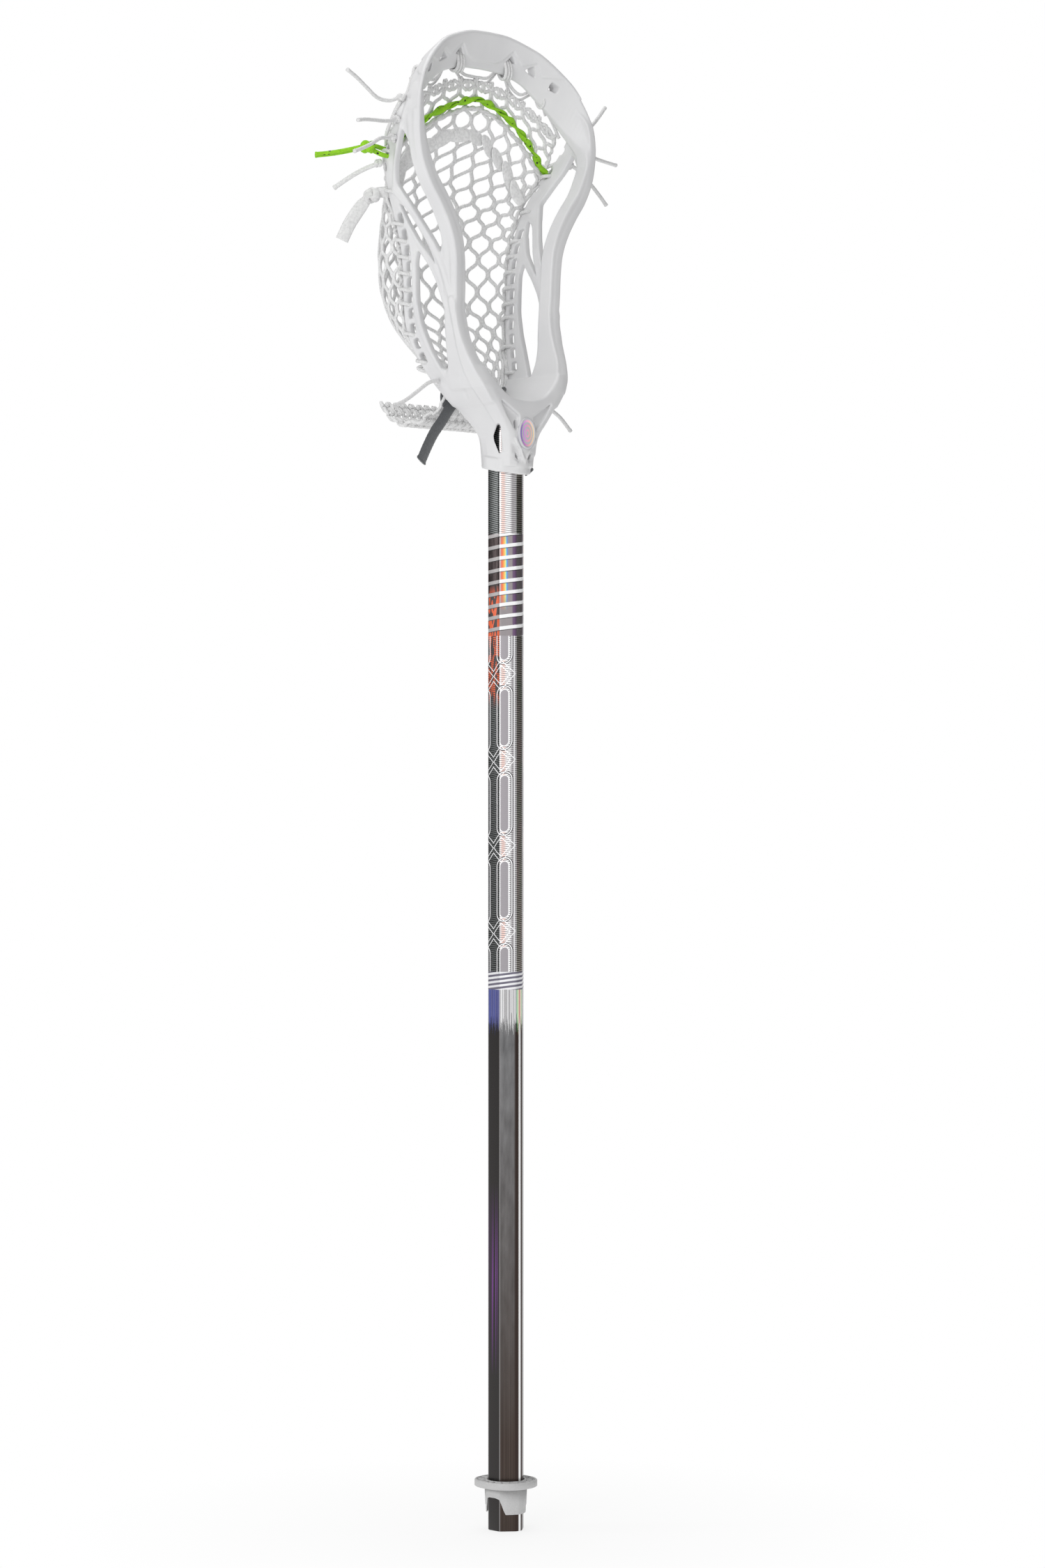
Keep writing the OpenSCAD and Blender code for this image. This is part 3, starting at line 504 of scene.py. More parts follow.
# ---- Head ----
# One white nylon moulding. It is a scoop and two front rails of solid section, a curved sidewall
# plate on each side with its windows, raised struts and string slots, and a throat that closes
# into the socket for the tube. Lengths are in mm and z counts from the mouth of the socket.
SOCKET = 44
HEAD_Z = SHAFT_LEN - SOCKET
VOXEL = 0.7
RIM = [
    [(0, 15.6, 301), (0, 24.5, 296.5), (0, 26.5, 276.5), 3.5],
    [(18, 15, 300), (18, 24, 295), (20, 26.5, 275.5), 3.5],
    [(36, 13, 295), (35, 23, 290), (38, 26, 270.5), 3.5],
    [(47, 10.5, 290), (46, 22, 285), (48, 25.5, 264), 3.5],
    [(59, 7, 281), (58, 20, 276), (59, 24, 255), 4],
    [(69.5, 3, 270.5), (68.5, 17.5, 265.5), (67.5, 21.5, 245.5), 5],
    [(77, 0, 258.5), (76, 14.5, 254), (73, 17, 236), 7],
    [(82, -2.4, 246), (81.4, 11.5, 242), (76, 12, 228), 9],
    [(84, -3.3, 232), (83.8, 8.5, 230), (77, 9, 223), 11],
    [(83.6, -3.3, 218), (83.4, 7.6, 218), (76.4, 7.6, 214.5), 10.9],
    [(80.6, -3.3, 204), (80.5, 7.6, 204), (73, 7.6, 206), 10.9],
    [(73.8, -3.3, 190), (73.6, 7.6, 190), (66.5, 7.6, 194), 10.9],
    [(65, -3.3, 178), (64.8, 7.6, 178), (57.3, 7.6, 182.5), 10.9],
    [(57.2, -3.3, 165.5), (57, 7.6, 165.5), (48.8, 7.6, 169), 10.9],
    [(52, -3.3, 153), (52, 7.8, 153), (43.2, 7.8, 155), 11.1],
    [(50, -3.2, 140), (50, 8.2, 140), (41.2, 8.2, 140.5), 11.4],
    [(49.5, -2.8, 123.5), (49.5, 8.6, 123.5), (40.4, 8.6, 123.5), 11.4],
    [(49, -2.2, 107), (49, 9.2, 107), (39.8, 9.2, 107), 11.4],
    [(48.2, -6, 89), (47.6, 9.6, 90), (39.2, 9.6, 90), 15.6],
    [(46.6, -11, 77), (45.6, 10.5, 78), (38, 10.5, 78), 21.5],
    [(43.6, -15.5, 66), (42.5, 12, 66), (33, 12, 66), 27.5],
    [(39, -18.5, 56), (38, 14, 56), (27, 14, 56), 32.5]]
# the throat as (z, half width, front y, back y)
THROAT = [(3, 14.4, -18.2, 15.2), (7, 14.6, -18.4, 15.4), (19, 15.2, -19, 15.5), (26, 17, -19.7, 15.8),
          (34, 22.4, -20.2, 18), (44, 29.2, -20.2, 22.8), (51, 34.4, -19.8, 26), (60, 40.6, -18.5, 30.6),
          (68, 43, -16, 35)]
# outer face of the sidewall, (z, x), along the front rail and along the string rail
FRONT_FACE = [(40, 26), (51, 34.4), (60, 40.4), (66, 43.6), (77, 46.6), (90, 48.2), (107, 49), (123.5, 49.5),
              (140, 50), (153, 52), (165.5, 57.2), (178, 65), (190, 73.8), (204, 80.6), (218, 83.6),
              (232, 84), (246, 82), (262, 75)]
BACK_FACE = [(40, 25), (47.5, 29.8), (56.5, 35.3), (66, 40.8), (77, 45.3), (88, 48.2), (101, 50),
             (119, 51), (139, 52), (157, 55), (174.5, 60.8), (188, 66.8), (200, 72.3), (212, 77),
             (223, 80.8), (233, 82.8), (243, 83.2), (262, 76)]
# the sidewall's own outline, its windows and its raised struts, (y, z)
PLATE = [(8, 258), (14, 246), (20.5, 235), (29.8, 221.5), (39.2, 210), (44.2, 196.5), (46.6, 182),
         (47.4, 160), (47.4, 112), (46.8, 100), (44.4, 89.4), (40.9, 79.2), (35.1, 68), (28, 54.4),
         (22, 43), (-19, 43), (-18.5, 56), (-15.5, 66), (-11, 77), (-6, 89), (-2.2, 105), (-3.2, 140),
         (-3.3, 232), (-2, 246)]
WINDOWS = [
    [(14.5, 226), (9, 216.5), (7.6, 207.5), (7.4, 182), (8.3, 154), (11.8, 145), (21.8, 165.5),
     (33.5, 192.5), (27.5, 204.5), (20.5, 214.5)],
    [(39.2, 181), (33, 176.3), (27.7, 165.2), (16.6, 138), (20.7, 143.5), (30.1, 155), (36.4, 169.5)],
    [(32, 149.5), (35, 142.5), (35.2, 117), (34.4, 112), (31.5, 99), (24.3, 81), (17.8, 68), (14.6, 65),
     (11.8, 66), (9.8, 71.5), (9.1, 88), (9.1, 107), (16, 126), (21.3, 135.5)],
    [(-1.8, 67.5), (7.1, 52.6), (3.6, 45.4), (-2.6, 59.2)],
    [(31.5, 219), (34.8, 214), (36.3, 209.5), (33.5, 211), (30.5, 215.5)],
    [(38.3, 207.5), (42, 205), (41.5, 201), (39.3, 202.5)],
    [(22, 232.5), (25.5, 228), (25, 226), (21.5, 229.5)]]
SOCKET_WINDOW = [(-5.3, 32), (-8.3, 24), (-7.6, 20), (-4, 11), (-2.8, 13.5), (-3.4, 30)]
STRING_RAIL = [(41.4, 176), (41.4, 117), (41, 104), (39, 92), (35.5, 81.5), (31.8, 72)]
STRUTS = [
    ([(9, 243), (13, 232), (18.5, 220), (25.5, 208), (33, 196), (38.5, 188)], 1.6, 0.8),
    ([(38, 188), (32.5, 180), (27, 170), (21.5, 159), (16.5, 149), (11, 138), (6, 125), (1.6, 113)],
     2.4, 0.9),
    ([(35.5, 167), (31, 156), (26, 146.5), (20.5, 136.5), (14, 124), (9, 111)], 1.3, 0.5),
    ([(37.2, 164), (37.2, 118), (35, 104), (30.5, 91), (25, 79), (19.5, 68.5), (15, 60)], 1.2, 0.5),
    ([(45.6, 186), (45.8, 112), (44.6, 99), (41.5, 87), (36.6, 76), (30, 63), (24, 50)], 1.1, 0.5),
    ([(0.2, 236), (-0.4, 200), (-0.4, 150), (0, 118)], 2.3, 0.6)]
BLADE = [(1.6, 113, 3.0), (-4.5, 92.5, 4.6), (-9.2, 73, 6.0), (-12, 58, 6.2), (-14, 44, 5.6), (-15, 30, 4.2),
         (-15.4, 14, 3.2)]
# the way out for the ball, the face's recesses and slits, and the scoop's zigzag edge, (x, z)
CHANNEL = [(-10, 47.5), (7.6, 48), (16.3, 50.3), (23.3, 55.5), (33.5, 66), (38, 77), (39.2, 95), (-10, 95)]
RECESSES = [([(24.1, 47), (6.6, 37), (7.1, 31.4), (8.5, 26.7), (11.8, 29.5), (18, 36.6)], 2.6),
            ([(11.5, 19), (5.4, 15.4), (2.4, 8.2), (4.6, 5.8), (9.8, 8.5)], 1.8)]
SLITS = [[(9.6, 34), (7.4, 33.6), (7.4, 29), (8.6, 28.4)], [(8, 13.4), (4.6, 9.6), (4.4, 7.4), (7, 9.4)]]
CROSS_RIBS = [[(9.5, 21.5), (1.4, 9), (-4.2, 1)]]
ZIGZAG = [(0, 281), (10, 281.2), (17, 284), (24.2, 291), (33.8, 282), (44.2, 284.8), (49.5, 275.5),
          (63, 275), (75, 262)]
SCOOP_HOLES = [[(24.4, 288.2), (28.5, 283.5), (19.8, 282.6)], [(43, 283), (37, 279.8), (46, 275.6)],
               [(57, 273.4), (62, 270), (61.5, 266), (56, 268.5)]]


def curve(points, step=None, count=None):
    """A smooth line through points, at even steps."""
    p = np.asarray(points, float)
    p = np.concatenate([[2 * p[0] - p[1]], p, [2 * p[-1] - p[-2]]])
    t = np.linspace(0, 1, 12, endpoint=False)[:, None]
    fine = [0.5 * (2 * b + (c - a) * t + (2 * a - 5 * b + 4 * c - d) * t ** 2
                   + (3 * b - a - 3 * c + d) * t ** 3)
            for a, b, c, d in zip(p, p[1:], p[2:], p[3:])]
    fine = np.concatenate([*fine, p[-2:-1]])
    run = np.r_[0, np.cumsum(np.linalg.norm(np.diff(fine, axis=0), axis=1))]
    count = count or max(2, int(round(run[-1] / step)) + 1)
    places = np.linspace(0, run[-1], count)
    return np.column_stack([np.interp(places, run, fine[:, k]) for k in range(p.shape[1])])


def rounded(points, radius):
    """A closed outline with its corners cut to smooth bends."""
    p, line = np.asarray(points, float), []
    for k in range(len(p)):
        here, back, on = p[k], p[k - 1], p[(k + 1) % len(p)]
        a, b = (here + (q - here) * min(0.45, radius / np.linalg.norm(q - here)) for q in (back, on))
        for t in np.linspace(0, 1, 5):
            line.append(a * (1 - t) ** 2 + 2 * here * t * (1 - t) + b * t * t)
    return np.array(line)


def outline_gap(points, a, b):
    """How far each (a, b) lies outside a closed outline; negative inside."""
    p = np.asarray(points, float)
    near = np.full(np.broadcast(a, b).shape, 1e9)
    inside = np.zeros(near.shape, bool)
    for (ax, ay), (bx, by) in zip(p, np.roll(p, -1, 0)):
        ex, ey = bx - ax, by - ay
        t = np.clip(((a - ax) * ex + (b - ay) * ey) / (ex * ex + ey * ey + 1e-9), 0, 1)
        near = np.minimum(near, (a - ax - t * ex) ** 2 + (b - ay - t * ey) ** 2)
        if ay != by:
            inside ^= ((ay > b) != (by > b)) & (a < (bx - ax) * (b - ay) / (by - ay) + ax)
    return np.where(inside, -1, 1) * np.sqrt(near)


def line_gap(points, a, b, half=None):
    """How far each (a, b) lies from an open line, less its half width, which may change along it."""
    p = np.asarray(points, float)
    near = np.full(np.broadcast(a, b).shape, 1e9)
    for one, two in zip(p, p[1:]):
        ex, ey = two[0] - one[0], two[1] - one[1]
        t = np.clip(((a - one[0]) * ex + (b - one[1]) * ey) / (ex * ex + ey * ey + 1e-9), 0, 1)
        wide = half if half is not None else one[2] + (two[2] - one[2]) * t
        near = np.minimum(near, np.hypot(a - one[0] - t * ex, b - one[1] - t * ey) - wide)
    return near


def join(a, b, k):
    """The union of two solids with a fillet of about k."""
    h = np.clip(0.5 + 0.5 * (b - a) / k, 0, 1)
    return b + (a - b) * h - k * h * (1 - h)


def cut(a, b, k):
    return -join(-a, b, k)


class Mould:
    """The space that half the head is moulded in, as distances on a grid."""

    low = np.array([0, -26, -3])
    high = np.array([88, 52, 304])

    def __init__(self):
        self.first = np.floor(self.low / VOXEL).astype(int)
        self.count = np.ceil(self.high / VOXEL).astype(int) - self.first + 1
        self.x, self.y, self.z = (
            ((np.arange(n) + f) * VOXEL).astype(np.float32).reshape([-1 if k == i else 1 for k in range(3)])
            for i, (n, f) in enumerate(zip(self.count, self.first)))
        self.band = 6
        self.solid = np.full(self.count, self.band * VOXEL, np.float32)

    def loft(self, rings, edge, closed=False):
        """Distances from a shape through rings whose edges are rounded by edge."""
        points, quads, triangles = skin(rings, closed)
        grid = vdb.FloatGrid.createLevelSetFromPolygons(
            points.astype(np.float32), triangles=triangles.astype(np.uint32), quads=quads.astype(np.uint32),
            transform=vdb.createLinearTransform(VOXEL), halfWidth=self.band)
        gap = np.full(self.count, self.band * VOXEL, np.float32)
        grid.copyToArray(gap, ijk=tuple(int(v) for v in self.first))
        return gap - edge

    def to_mesh(self):
        whole = np.concatenate([self.solid[:0:-1], self.solid])
        whole = np.clip(whole, -self.band * VOXEL, self.band * VOXEL)
        grid = vdb.FloatGrid(self.band * VOXEL)
        grid.transform = vdb.createLinearTransform(VOXEL)
        grid.copyFromArray(whole, ijk=(-(int(self.count[0]) - 1), int(self.first[1]), int(self.first[2])))
        points, triangles, quads = grid.convertToPolygons(0.0, 0.0)
        return points.astype(float) + [0, 0, HEAD_Z], quads.astype(int), triangles.astype(int)


def inset(ring, edge):
    """A ring of four or more corners drawn in by edge, to be rounded out again."""
    ring = np.asarray(ring, float)
    drawn = []
    for k in range(len(ring)):
        back, on = ring[k - 1] - ring[k], ring[(k + 1) % len(ring)] - ring[k]
        lengths = np.linalg.norm(back), np.linalg.norm(on)
        drawn.append(ring[k] + back / lengths[0] * min(edge, lengths[0] / 2.2)
                     + on / lengths[1] * min(edge, lengths[1] / 2.2))
    return drawn


def rim_rings(edge):
    corners = np.array([[a, np.subtract(c, (0, t, 0)), c, b] for a, b, c, t in RIM])
    lines = [curve(corners[:, k], count=90) for k in range(4)]
    half = [inset(ring, edge) for ring in np.stack(lines, 1)]
    other = [[(-x, y, z) for x, y, z in ring] for ring in half[:0:-1]]
    return other + half


def throat_rings():
    rings = []
    for z, half, front, back in curve(THROAT, count=24):
        corners = [(half, front), (half, back), (-half, back), (-half, front)]
        cut_corners = rounded(corners, np.interp(z, [7, 26, 46], [13, 11, 7]))
        rings.append([(x, y, z) for x, y in cut_corners])
    return rings


def mould_head():
    m = Mould()
    x, y, z = m.x, m.y, m.z
    side_y, side_z = np.squeeze(y)[:, None], np.squeeze(z)[None, :]
    front = np.interp(side_z, *curve(FRONT_FACE, count=120).T)
    back = np.interp(side_z, *curve(BACK_FACE, count=120).T)
    share = np.clip((side_y - 2) / 43, 0, 1)
    outer = front + (back - front) * share
    # scoop and rails
    rim = m.loft(rim_rings(1.2), 1.2)
    face = np.interp(x, *np.array(ZIGZAG).T)
    thick = np.maximum(rim - 0.8, np.maximum((face - z) * 0.75, 262 - z))
    m.solid = np.minimum(rim, join(rim, thick, 0.4))
    # sidewall plate with its raised struts and blade
    plate = outline_gap(rounded(PLATE, 4), side_y, side_z)
    for window in WINDOWS:
        plate = np.maximum(plate, -outline_gap(rounded(window, 3.2), side_y, side_z))
    rail = curve(STRING_RAIL, step=10.1)
    for (ay, az), (by, bz) in zip(rail, rail[1:]):
        cy, cz = (ay + by) / 2, (az + bz) / 2
        lean = (by - ay) * 0.36
        slot = [(cy - 2.5 - lean, cz + 4), (cy + 2.2 - lean, cz + 2.8), (cy + 2.4 + lean, cz - 3.4),
                (cy - 2.1 + lean, cz - 3.2)]
        plate = np.maximum(plate, -outline_gap(rounded(slot, 1.3), side_y, side_z))
    raised = np.zeros(plate.shape)
    for line, half, rise in STRUTS:
        gap = line_gap(curve(line, step=4), side_y, side_z, half)
        raised = np.maximum(raised, rise * np.clip(0.5 - gap / 1.2, 0, 1))
    gap = line_gap(curve(BLADE, step=4), side_y, side_z)
    raised = np.maximum(raised, 1.5 * np.clip(0.5 - gap / 1.0, 0, 1))
    slope = 1 / np.sqrt(1 + np.gradient(outer, VOXEL, axis=1) ** 2)
    out = (outer + raised)[None]
    slope = slope[None]
    wall = np.maximum((x - out) * slope, (out - 4.9 - raised[None] * 0.6 - x) * slope)
    wall = -join(-wall, -np.broadcast_to(plate[None], wall.shape), 1.1)
    low = np.maximum(wall, 44.5 - z)
    m.solid = join(m.solid, low, 1.6)
    # throat and the lip of the socket
    throat = m.loft(throat_rings(), 0)
    blade = line_gap(curve(BLADE, step=4), side_y, side_z)
    ridge = (0.9 * np.clip(0.5 - blade / 1.0, 0, 1) * np.clip((48 - side_z) / 6, 0, 1))[None]
    m.solid = join(m.solid, throat - ridge, 2.4)
    lip = [[(a, b - 0.7, height + b * 0.19) for a, b in octagon(3.7, 4)] for height in (1.4, 9.0)]
    m.solid = join(m.solid, m.loft(lip, 0.6), 0.8)
    # raised ribs below the badge
    front_y = np.interp(z, [t[0] for t in THROAT], [t[2] for t in THROAT])
    for rib in CROSS_RIBS:
        gap = line_gap(rib, x, z, 0.8)
        m.solid = join(m.solid, np.maximum(gap, np.abs(y - front_y) - 0.9), 0.9)
    # cuts
    for recess, deep in RECESSES:
        gap = outline_gap(rounded(recess, 1.5), x, z)
        m.solid = cut(m.solid, np.maximum(gap * 0.8, y - front_y - deep), 0.8)
    for hole in SLITS:
        m.solid = cut(m.solid, np.maximum(outline_gap(hole, x, z), y), 0.3)
    for hole in SCOOP_HOLES:
        m.solid = cut(m.solid, np.maximum(outline_gap(rounded(hole, 0.8), x, z), 4 - y), 0.5)
    # a leaf-shaped window cut in from the front corner, where the tube shows
    some = np.flatnonzero((side_z[0] > 6) & (side_z[0] < 38))
    some = slice(some[0], some[-1])
    corner, deep = -(x + y) / math.sqrt(2), (x - y) / math.sqrt(2)
    gap = outline_gap(rounded(SOCKET_WINDOW, 1.2), corner + 0 * z[..., some], z[..., some] + 0 * corner)
    gap = np.maximum(gap, 9 - deep)
    m.solid[..., some] = cut(m.solid[..., some], gap, 0.6)
    gap = outline_gap(rounded(CHANNEL, 5), x, z)
    m.solid = cut(m.solid, gap, 2.0)
    bore = outline_gap(octagon(0.25, 1.2), x, y)
    m.solid = cut(m.solid, np.maximum(bore, z - SOCKET - 0.2), 0.5)
    screw = np.hypot(x, z - 20) - 1.9
    m.solid = np.maximum(m.solid, -np.maximum(screw, -y))
    return m.to_mesh()


def white_nylon():
    material = shader("white_nylon", {
        "Base Color": (0.72, 0.72, 0.73, 1), "Roughness": 0.36, "Subsurface Weight": 0.12,
        "Subsurface Radius": (1.0, 1.0, 1.0), "Subsurface Scale": 0.0015})
    tree = material.node_tree
    main = tree.nodes["Principled BSDF"]
    place = node(tree, "TexCoord").node.outputs["Object"]
    grain = node(tree, "TexNoise", {"Vector": place, "Scale": 1100.0, "Detail": 3.0})
    cloud = node(tree, "TexNoise", {"Vector": place, "Scale": 22.0, "Detail": 3.0})
    colour = ramp(tree, cloud, (0.3, (0.66, 0.66, 0.67)), (0.7, (0.71, 0.71, 0.715)))
    tree.links.new(colour, main.inputs["Base Color"])
    tree.links.new(node(tree, "MapRange", {"Value": cloud, 3: 0.32, 4: 0.46}), main.inputs["Roughness"])
    bump = node(tree, "Bump", {"Strength": 0.12, "Distance": 0.0001, "Height": grain})
    tree.links.new(bump, main.inputs["Normal"])
    return material


nylon = white_nylon()
head = make("head_moulding", [mould_head()], nylon, ["head"])
relax = head.modifiers.new("relax", "SMOOTH")
relax.factor = 0.5
relax.iterations = 2

# ---- Head screw ----
# A plated pan-head screw through the back of the socket into the tube.
steel = shader("plated_steel", {"Base Color": (0.62, 0.62, 0.63, 1), "Metallic": 1.0, "Roughness": 0.3})
steel_grain = node(steel.node_tree, "TexNoise", {
    "Vector": node(steel.node_tree, "TexCoord").node.outputs["Object"], "Scale": 2200.0, "Detail": 2.0})
steel.node_tree.links.new(node(steel.node_tree, "MapRange", {"Value": steel_grain, 3: 0.22, 4: 0.4}),
                          steel.node_tree.nodes["Principled BSDF"].inputs["Roughness"])
screw_low, screw_high = (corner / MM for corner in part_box("head_screw"))


def screw_shapes(count=40):
    """Shank, domed head and a cross recess, turned about Y."""
    centre = (screw_low.z + screw_high.z) / 2
    r = (screw_high.x - screw_low.x) / 2
    top = screw_high.y
    shank_r, under_head = 1.75, top - 1.8
    profile = [(shank_r, screw_low.y), (shank_r, under_head), (r, under_head), (r, top - 1.0),
               (r * 0.86, top - 0.35), (r * 0.6, top - 0.05), (r * 0.42, top), (r * 0.3, top - 0.2),
               (r * 0.12, top - 1.1)]
    turns = np.linspace(0, 2 * np.pi, count, endpoint=False)
    rings = []
    for radius, height in profile:
        in_recess = radius <= r * 0.5 and height > under_head
        crossed = 1 + 0.28 * np.cos(4 * turns) if in_recess else 1.0
        rings.append(np.column_stack([radius * crossed * np.cos(turns), np.full(count, height),
                                      centre + radius * crossed * np.sin(turns)]))
    return skin(rings)


make("head_screw_steel", [screw_shapes()], steel, ["head_screw"])

# ---- Throat badge ----
# A small oval badge with a raised silver rim, bonded to the front of the throat. Its face is
# iridescent foil with plain oval rings, one inside the other.
badge_low, badge_high = (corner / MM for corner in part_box("throat_badge"))
BADGE_RIM = 1.5


def badge_foil():
    material = shader("iridescent_badge", {"Roughness": 0.25, "Coat Weight": 0.5})
    tree = material.node_tree
    place = node(tree, "TexCoord").node.outputs["Object"]
    split = node(tree, "SeparateXYZ", {0: place}).node.outputs
    x = node(tree, "Math", {0: split[0], 1: 1 / MM}, operation="MULTIPLY")
    z = node(tree, "Math", {0: split[2], 1: 1 / MM}, operation="MULTIPLY")
    flow = node(tree, "MapRange", {"Value": x, 1: badge_low.x, 2: badge_high.x})
    tint = ramp(tree, flow, (0.05, (0.25, 0.2, 0.85)), (0.35, (0.85, 0.35, 0.85)), (0.6, (1.0, 0.55, 0.55)),
                (0.9, (1.0, 0.8, 0.45)))
    middle_z = (badge_low.z + badge_high.z) / 2
    away_x = node(tree, "Math", {0: x, 1: badge_high.x - BADGE_RIM}, operation="DIVIDE")
    away_z = node(tree, "Math", {0: z, 1: middle_z}, operation="SUBTRACT")
    away_z = node(tree, "Math", {0: away_z, 1: badge_high.z - middle_z - BADGE_RIM}, operation="DIVIDE")
    place = node(tree, "CombineXYZ", {0: away_x, 1: away_z})
    reach = node(tree, "VectorMath", {0: place}, operation="LENGTH").node.outputs["Value"]
    wave = node(tree, "Math", {0: reach, 1: 19.0}, operation="MULTIPLY")
    wave = node(tree, "Math", {0: wave}, operation="SINE")
    bars = node(tree, "MapRange", {"Value": wave, 1: 0.1, 2: -0.3})
    inside = node(tree, "MapRange", {"Value": reach, 1: 1.0, 2: 0.97})
    shown = node(tree, "Math", {0: bars, 1: inside}, operation="MULTIPLY")
    mixed = node(tree, "Mix", {"Factor": shown, 6: (0.6, 0.6, 0.63, 1), 7: tint}, data_type="RGBA")
    tree.links.new(mixed.node.outputs[2], tree.nodes["Principled BSDF"].inputs["Base Color"])
    return material


def badge_shape():
    middle_z = (badge_low.z + badge_high.z) / 2
    a, b = badge_high.x, (badge_high.z - badge_low.z) / 2
    face = badge_low.y
    profile = [(0, badge_high.y + 1.6), (0, face + 0.5), (-0.35, face + 0.05), (-0.9, face),
               (-1.3, face + 0.15), (-BADGE_RIM, face + 0.45), (-4.0, face + 0.35), (-6.5, face + 0.3)]
    turns = np.linspace(0, 2 * np.pi, 64, endpoint=False)
    c, s = np.cos(turns), np.sin(turns)
    return skin([np.column_stack([(a + g) * c, np.full(64, y), middle_z + (b + g) * s]) for g, y in profile])


make("throat_badge_oval", [badge_shape()], badge_foil(), ["throat_badge"])

# ---- Mesh ----
# A soft knitted net of ten cells across. Each cord runs down it in a zigzag and lies beside its
# neighbour at every joint. It hangs as a deep pocket behind the rails, is gathered where it
# passes the throat, and its free end curls out behind.
# each row as (y, z) of its middle, (x, y, z) of its edge, and how round it is between them
ROWS = [[(29, 271), (74, 25.5, 240), 0], [(30, 260), (76, 29, 233), 0], [(32, 250), (77, 33, 226), 0.1],
        [(35.5, 238), (76, 37, 218), 0.2], [(45, 228), (73, 41, 210), 0.35], [(60, 218), (69, 45, 201), 0.5],
        [(75.5, 206), (64, 48, 191), 0.65], [(88, 191), (58.5, 49.5, 179), 0.8],
        [(97, 175), (54, 50, 167), 0.9], [(102, 157), (51.5, 50, 154), 1], [(103, 140), (50.5, 50, 140), 1],
        [(99.5, 124), (50, 50, 126), 1],
        [(91, 110), (49.5, 49.5, 113), 1], [(80, 98.5), (48.5, 48, 101), 1],
        [(66, 86.5), (46.5, 45, 90), 0.9],
        [(54, 77.5), (43, 41, 80), 0.8], [(44, 68.5), (38, 36.5, 69.5), 0.6], [(38, 60), (32, 32, 60), 0.4],
        [(35.5, 52), (28, 30, 52), 0.2], [(41, 42), (31, 39, 42), 0.1], [(48, 36.5), (35, 47, 37), 0],
        [(60, 34.5), (37, 60, 34.5), 0], [(72, 37), (37, 72, 37), 0], [(80, 43), (37, 80, 43), 0],
        [(87, 50.5), (36.5, 87, 50.5), 0]]
JOINTS = [0.1, 0.8, 2.6, 4.3, 5.8, 7, 8.3, 9.7, 11.3, 12.8, 14.3, 15.7, 17, 18.2, 19.5, 20.8, 22.1, 23.2,
          24]
CELLS = 10
TAIL_ROW = 17
FIRST_ROW, LAST_ROW = 0.06, 23.94
row_numbers = np.arange(len(ROWS))
row_table = np.array([[*middle, *edge, how_round] for middle, edge, how_round in ROWS], float)
row_fine = curve(np.column_stack([row_numbers * 10, row_table]), count=600)


def net(u, v):
    """A point of the net: u is -1 at its left edge and 1 at its right, v counts rows downwards."""
    u, v = np.broadcast_arrays(np.asarray(u, float), np.asarray(v, float))
    my, mz, ex, ey, ez, m = (np.interp(v * 10, row_fine[:, 0], row_fine[:, k]) for k in range(1, 7))
    g = (1 - u * u) * (1 - m) + np.cos(u * np.pi / 2) * m
    x = u * (1 - m) + np.sin(u * np.pi / 2) * m
    return np.stack([ex * x, ey + (my - ey) * g, ez + (mz - ez) * g + HEAD_Z], -1)


def net_normal(u, v):
    """Points out of the pocket, away from the ball."""
    u, v = np.asarray(u, float), np.clip(v, FIRST_ROW, LAST_ROW)
    down = net(u, v + 0.05) - net(u, v - 0.05)
    wide = net(u + 0.02, v) - net(u - 0.02, v)
    n = np.cross(down, wide)
    return n / np.linalg.norm(n, axis=-1, keepdims=True)


def frames(path, hint=None):
    """A side and an up direction at each point of a path, turning as little as it can."""
    path = np.asarray(path, float)
    t = np.gradient(path, axis=0)
    t /= np.linalg.norm(t, axis=1, keepdims=True) + 1e-12
    if hint is not None:
        side = np.cross(t, np.broadcast_to(hint, t.shape))
        side /= np.linalg.norm(side, axis=1, keepdims=True) + 1e-12
        return side, np.cross(side, t)
    side = np.zeros_like(t)
    s = np.cross(t[0], (0.31, 0.52, 0.79))
    for k in range(len(t)):
        s = s - t[k] * np.dot(s, t[k])
        s /= np.linalg.norm(s) + 1e-12
        side[k] = s
    return side, np.cross(side, t)


def strand(path, wide, thick, hint=None, sides=8, swell=None, twist=0.0):
    """A cord of oval section along a path; swell scales it along its length, twist turns it."""
    path = np.asarray(path, float)
    side, up = frames(path, hint)
    turns = np.linspace(0, 2 * np.pi, sides, endpoint=False)[None]
    run = np.r_[0, np.cumsum(np.linalg.norm(np.diff(path, axis=0), axis=1))][:, None]
    scale = np.ones(len(path)) if swell is None else np.asarray(swell)
    a = wide * np.cos(turns) * scale[:, None]
    b = thick * np.sin(turns) * scale[:, None]
    spin = run * twist
    a, b = a * np.cos(spin) - b * np.sin(spin), a * np.sin(spin) + b * np.cos(spin)
    rings = path[:, None] + side[:, None] * a[..., None] + up[:, None] * b[..., None]
    return skin(rings)


def joint_row(j):
    """The height of joint row j on the net; rows of the two kinds alternate."""
    return np.interp(j / 2, np.arange(len(JOINTS)), JOINTS)


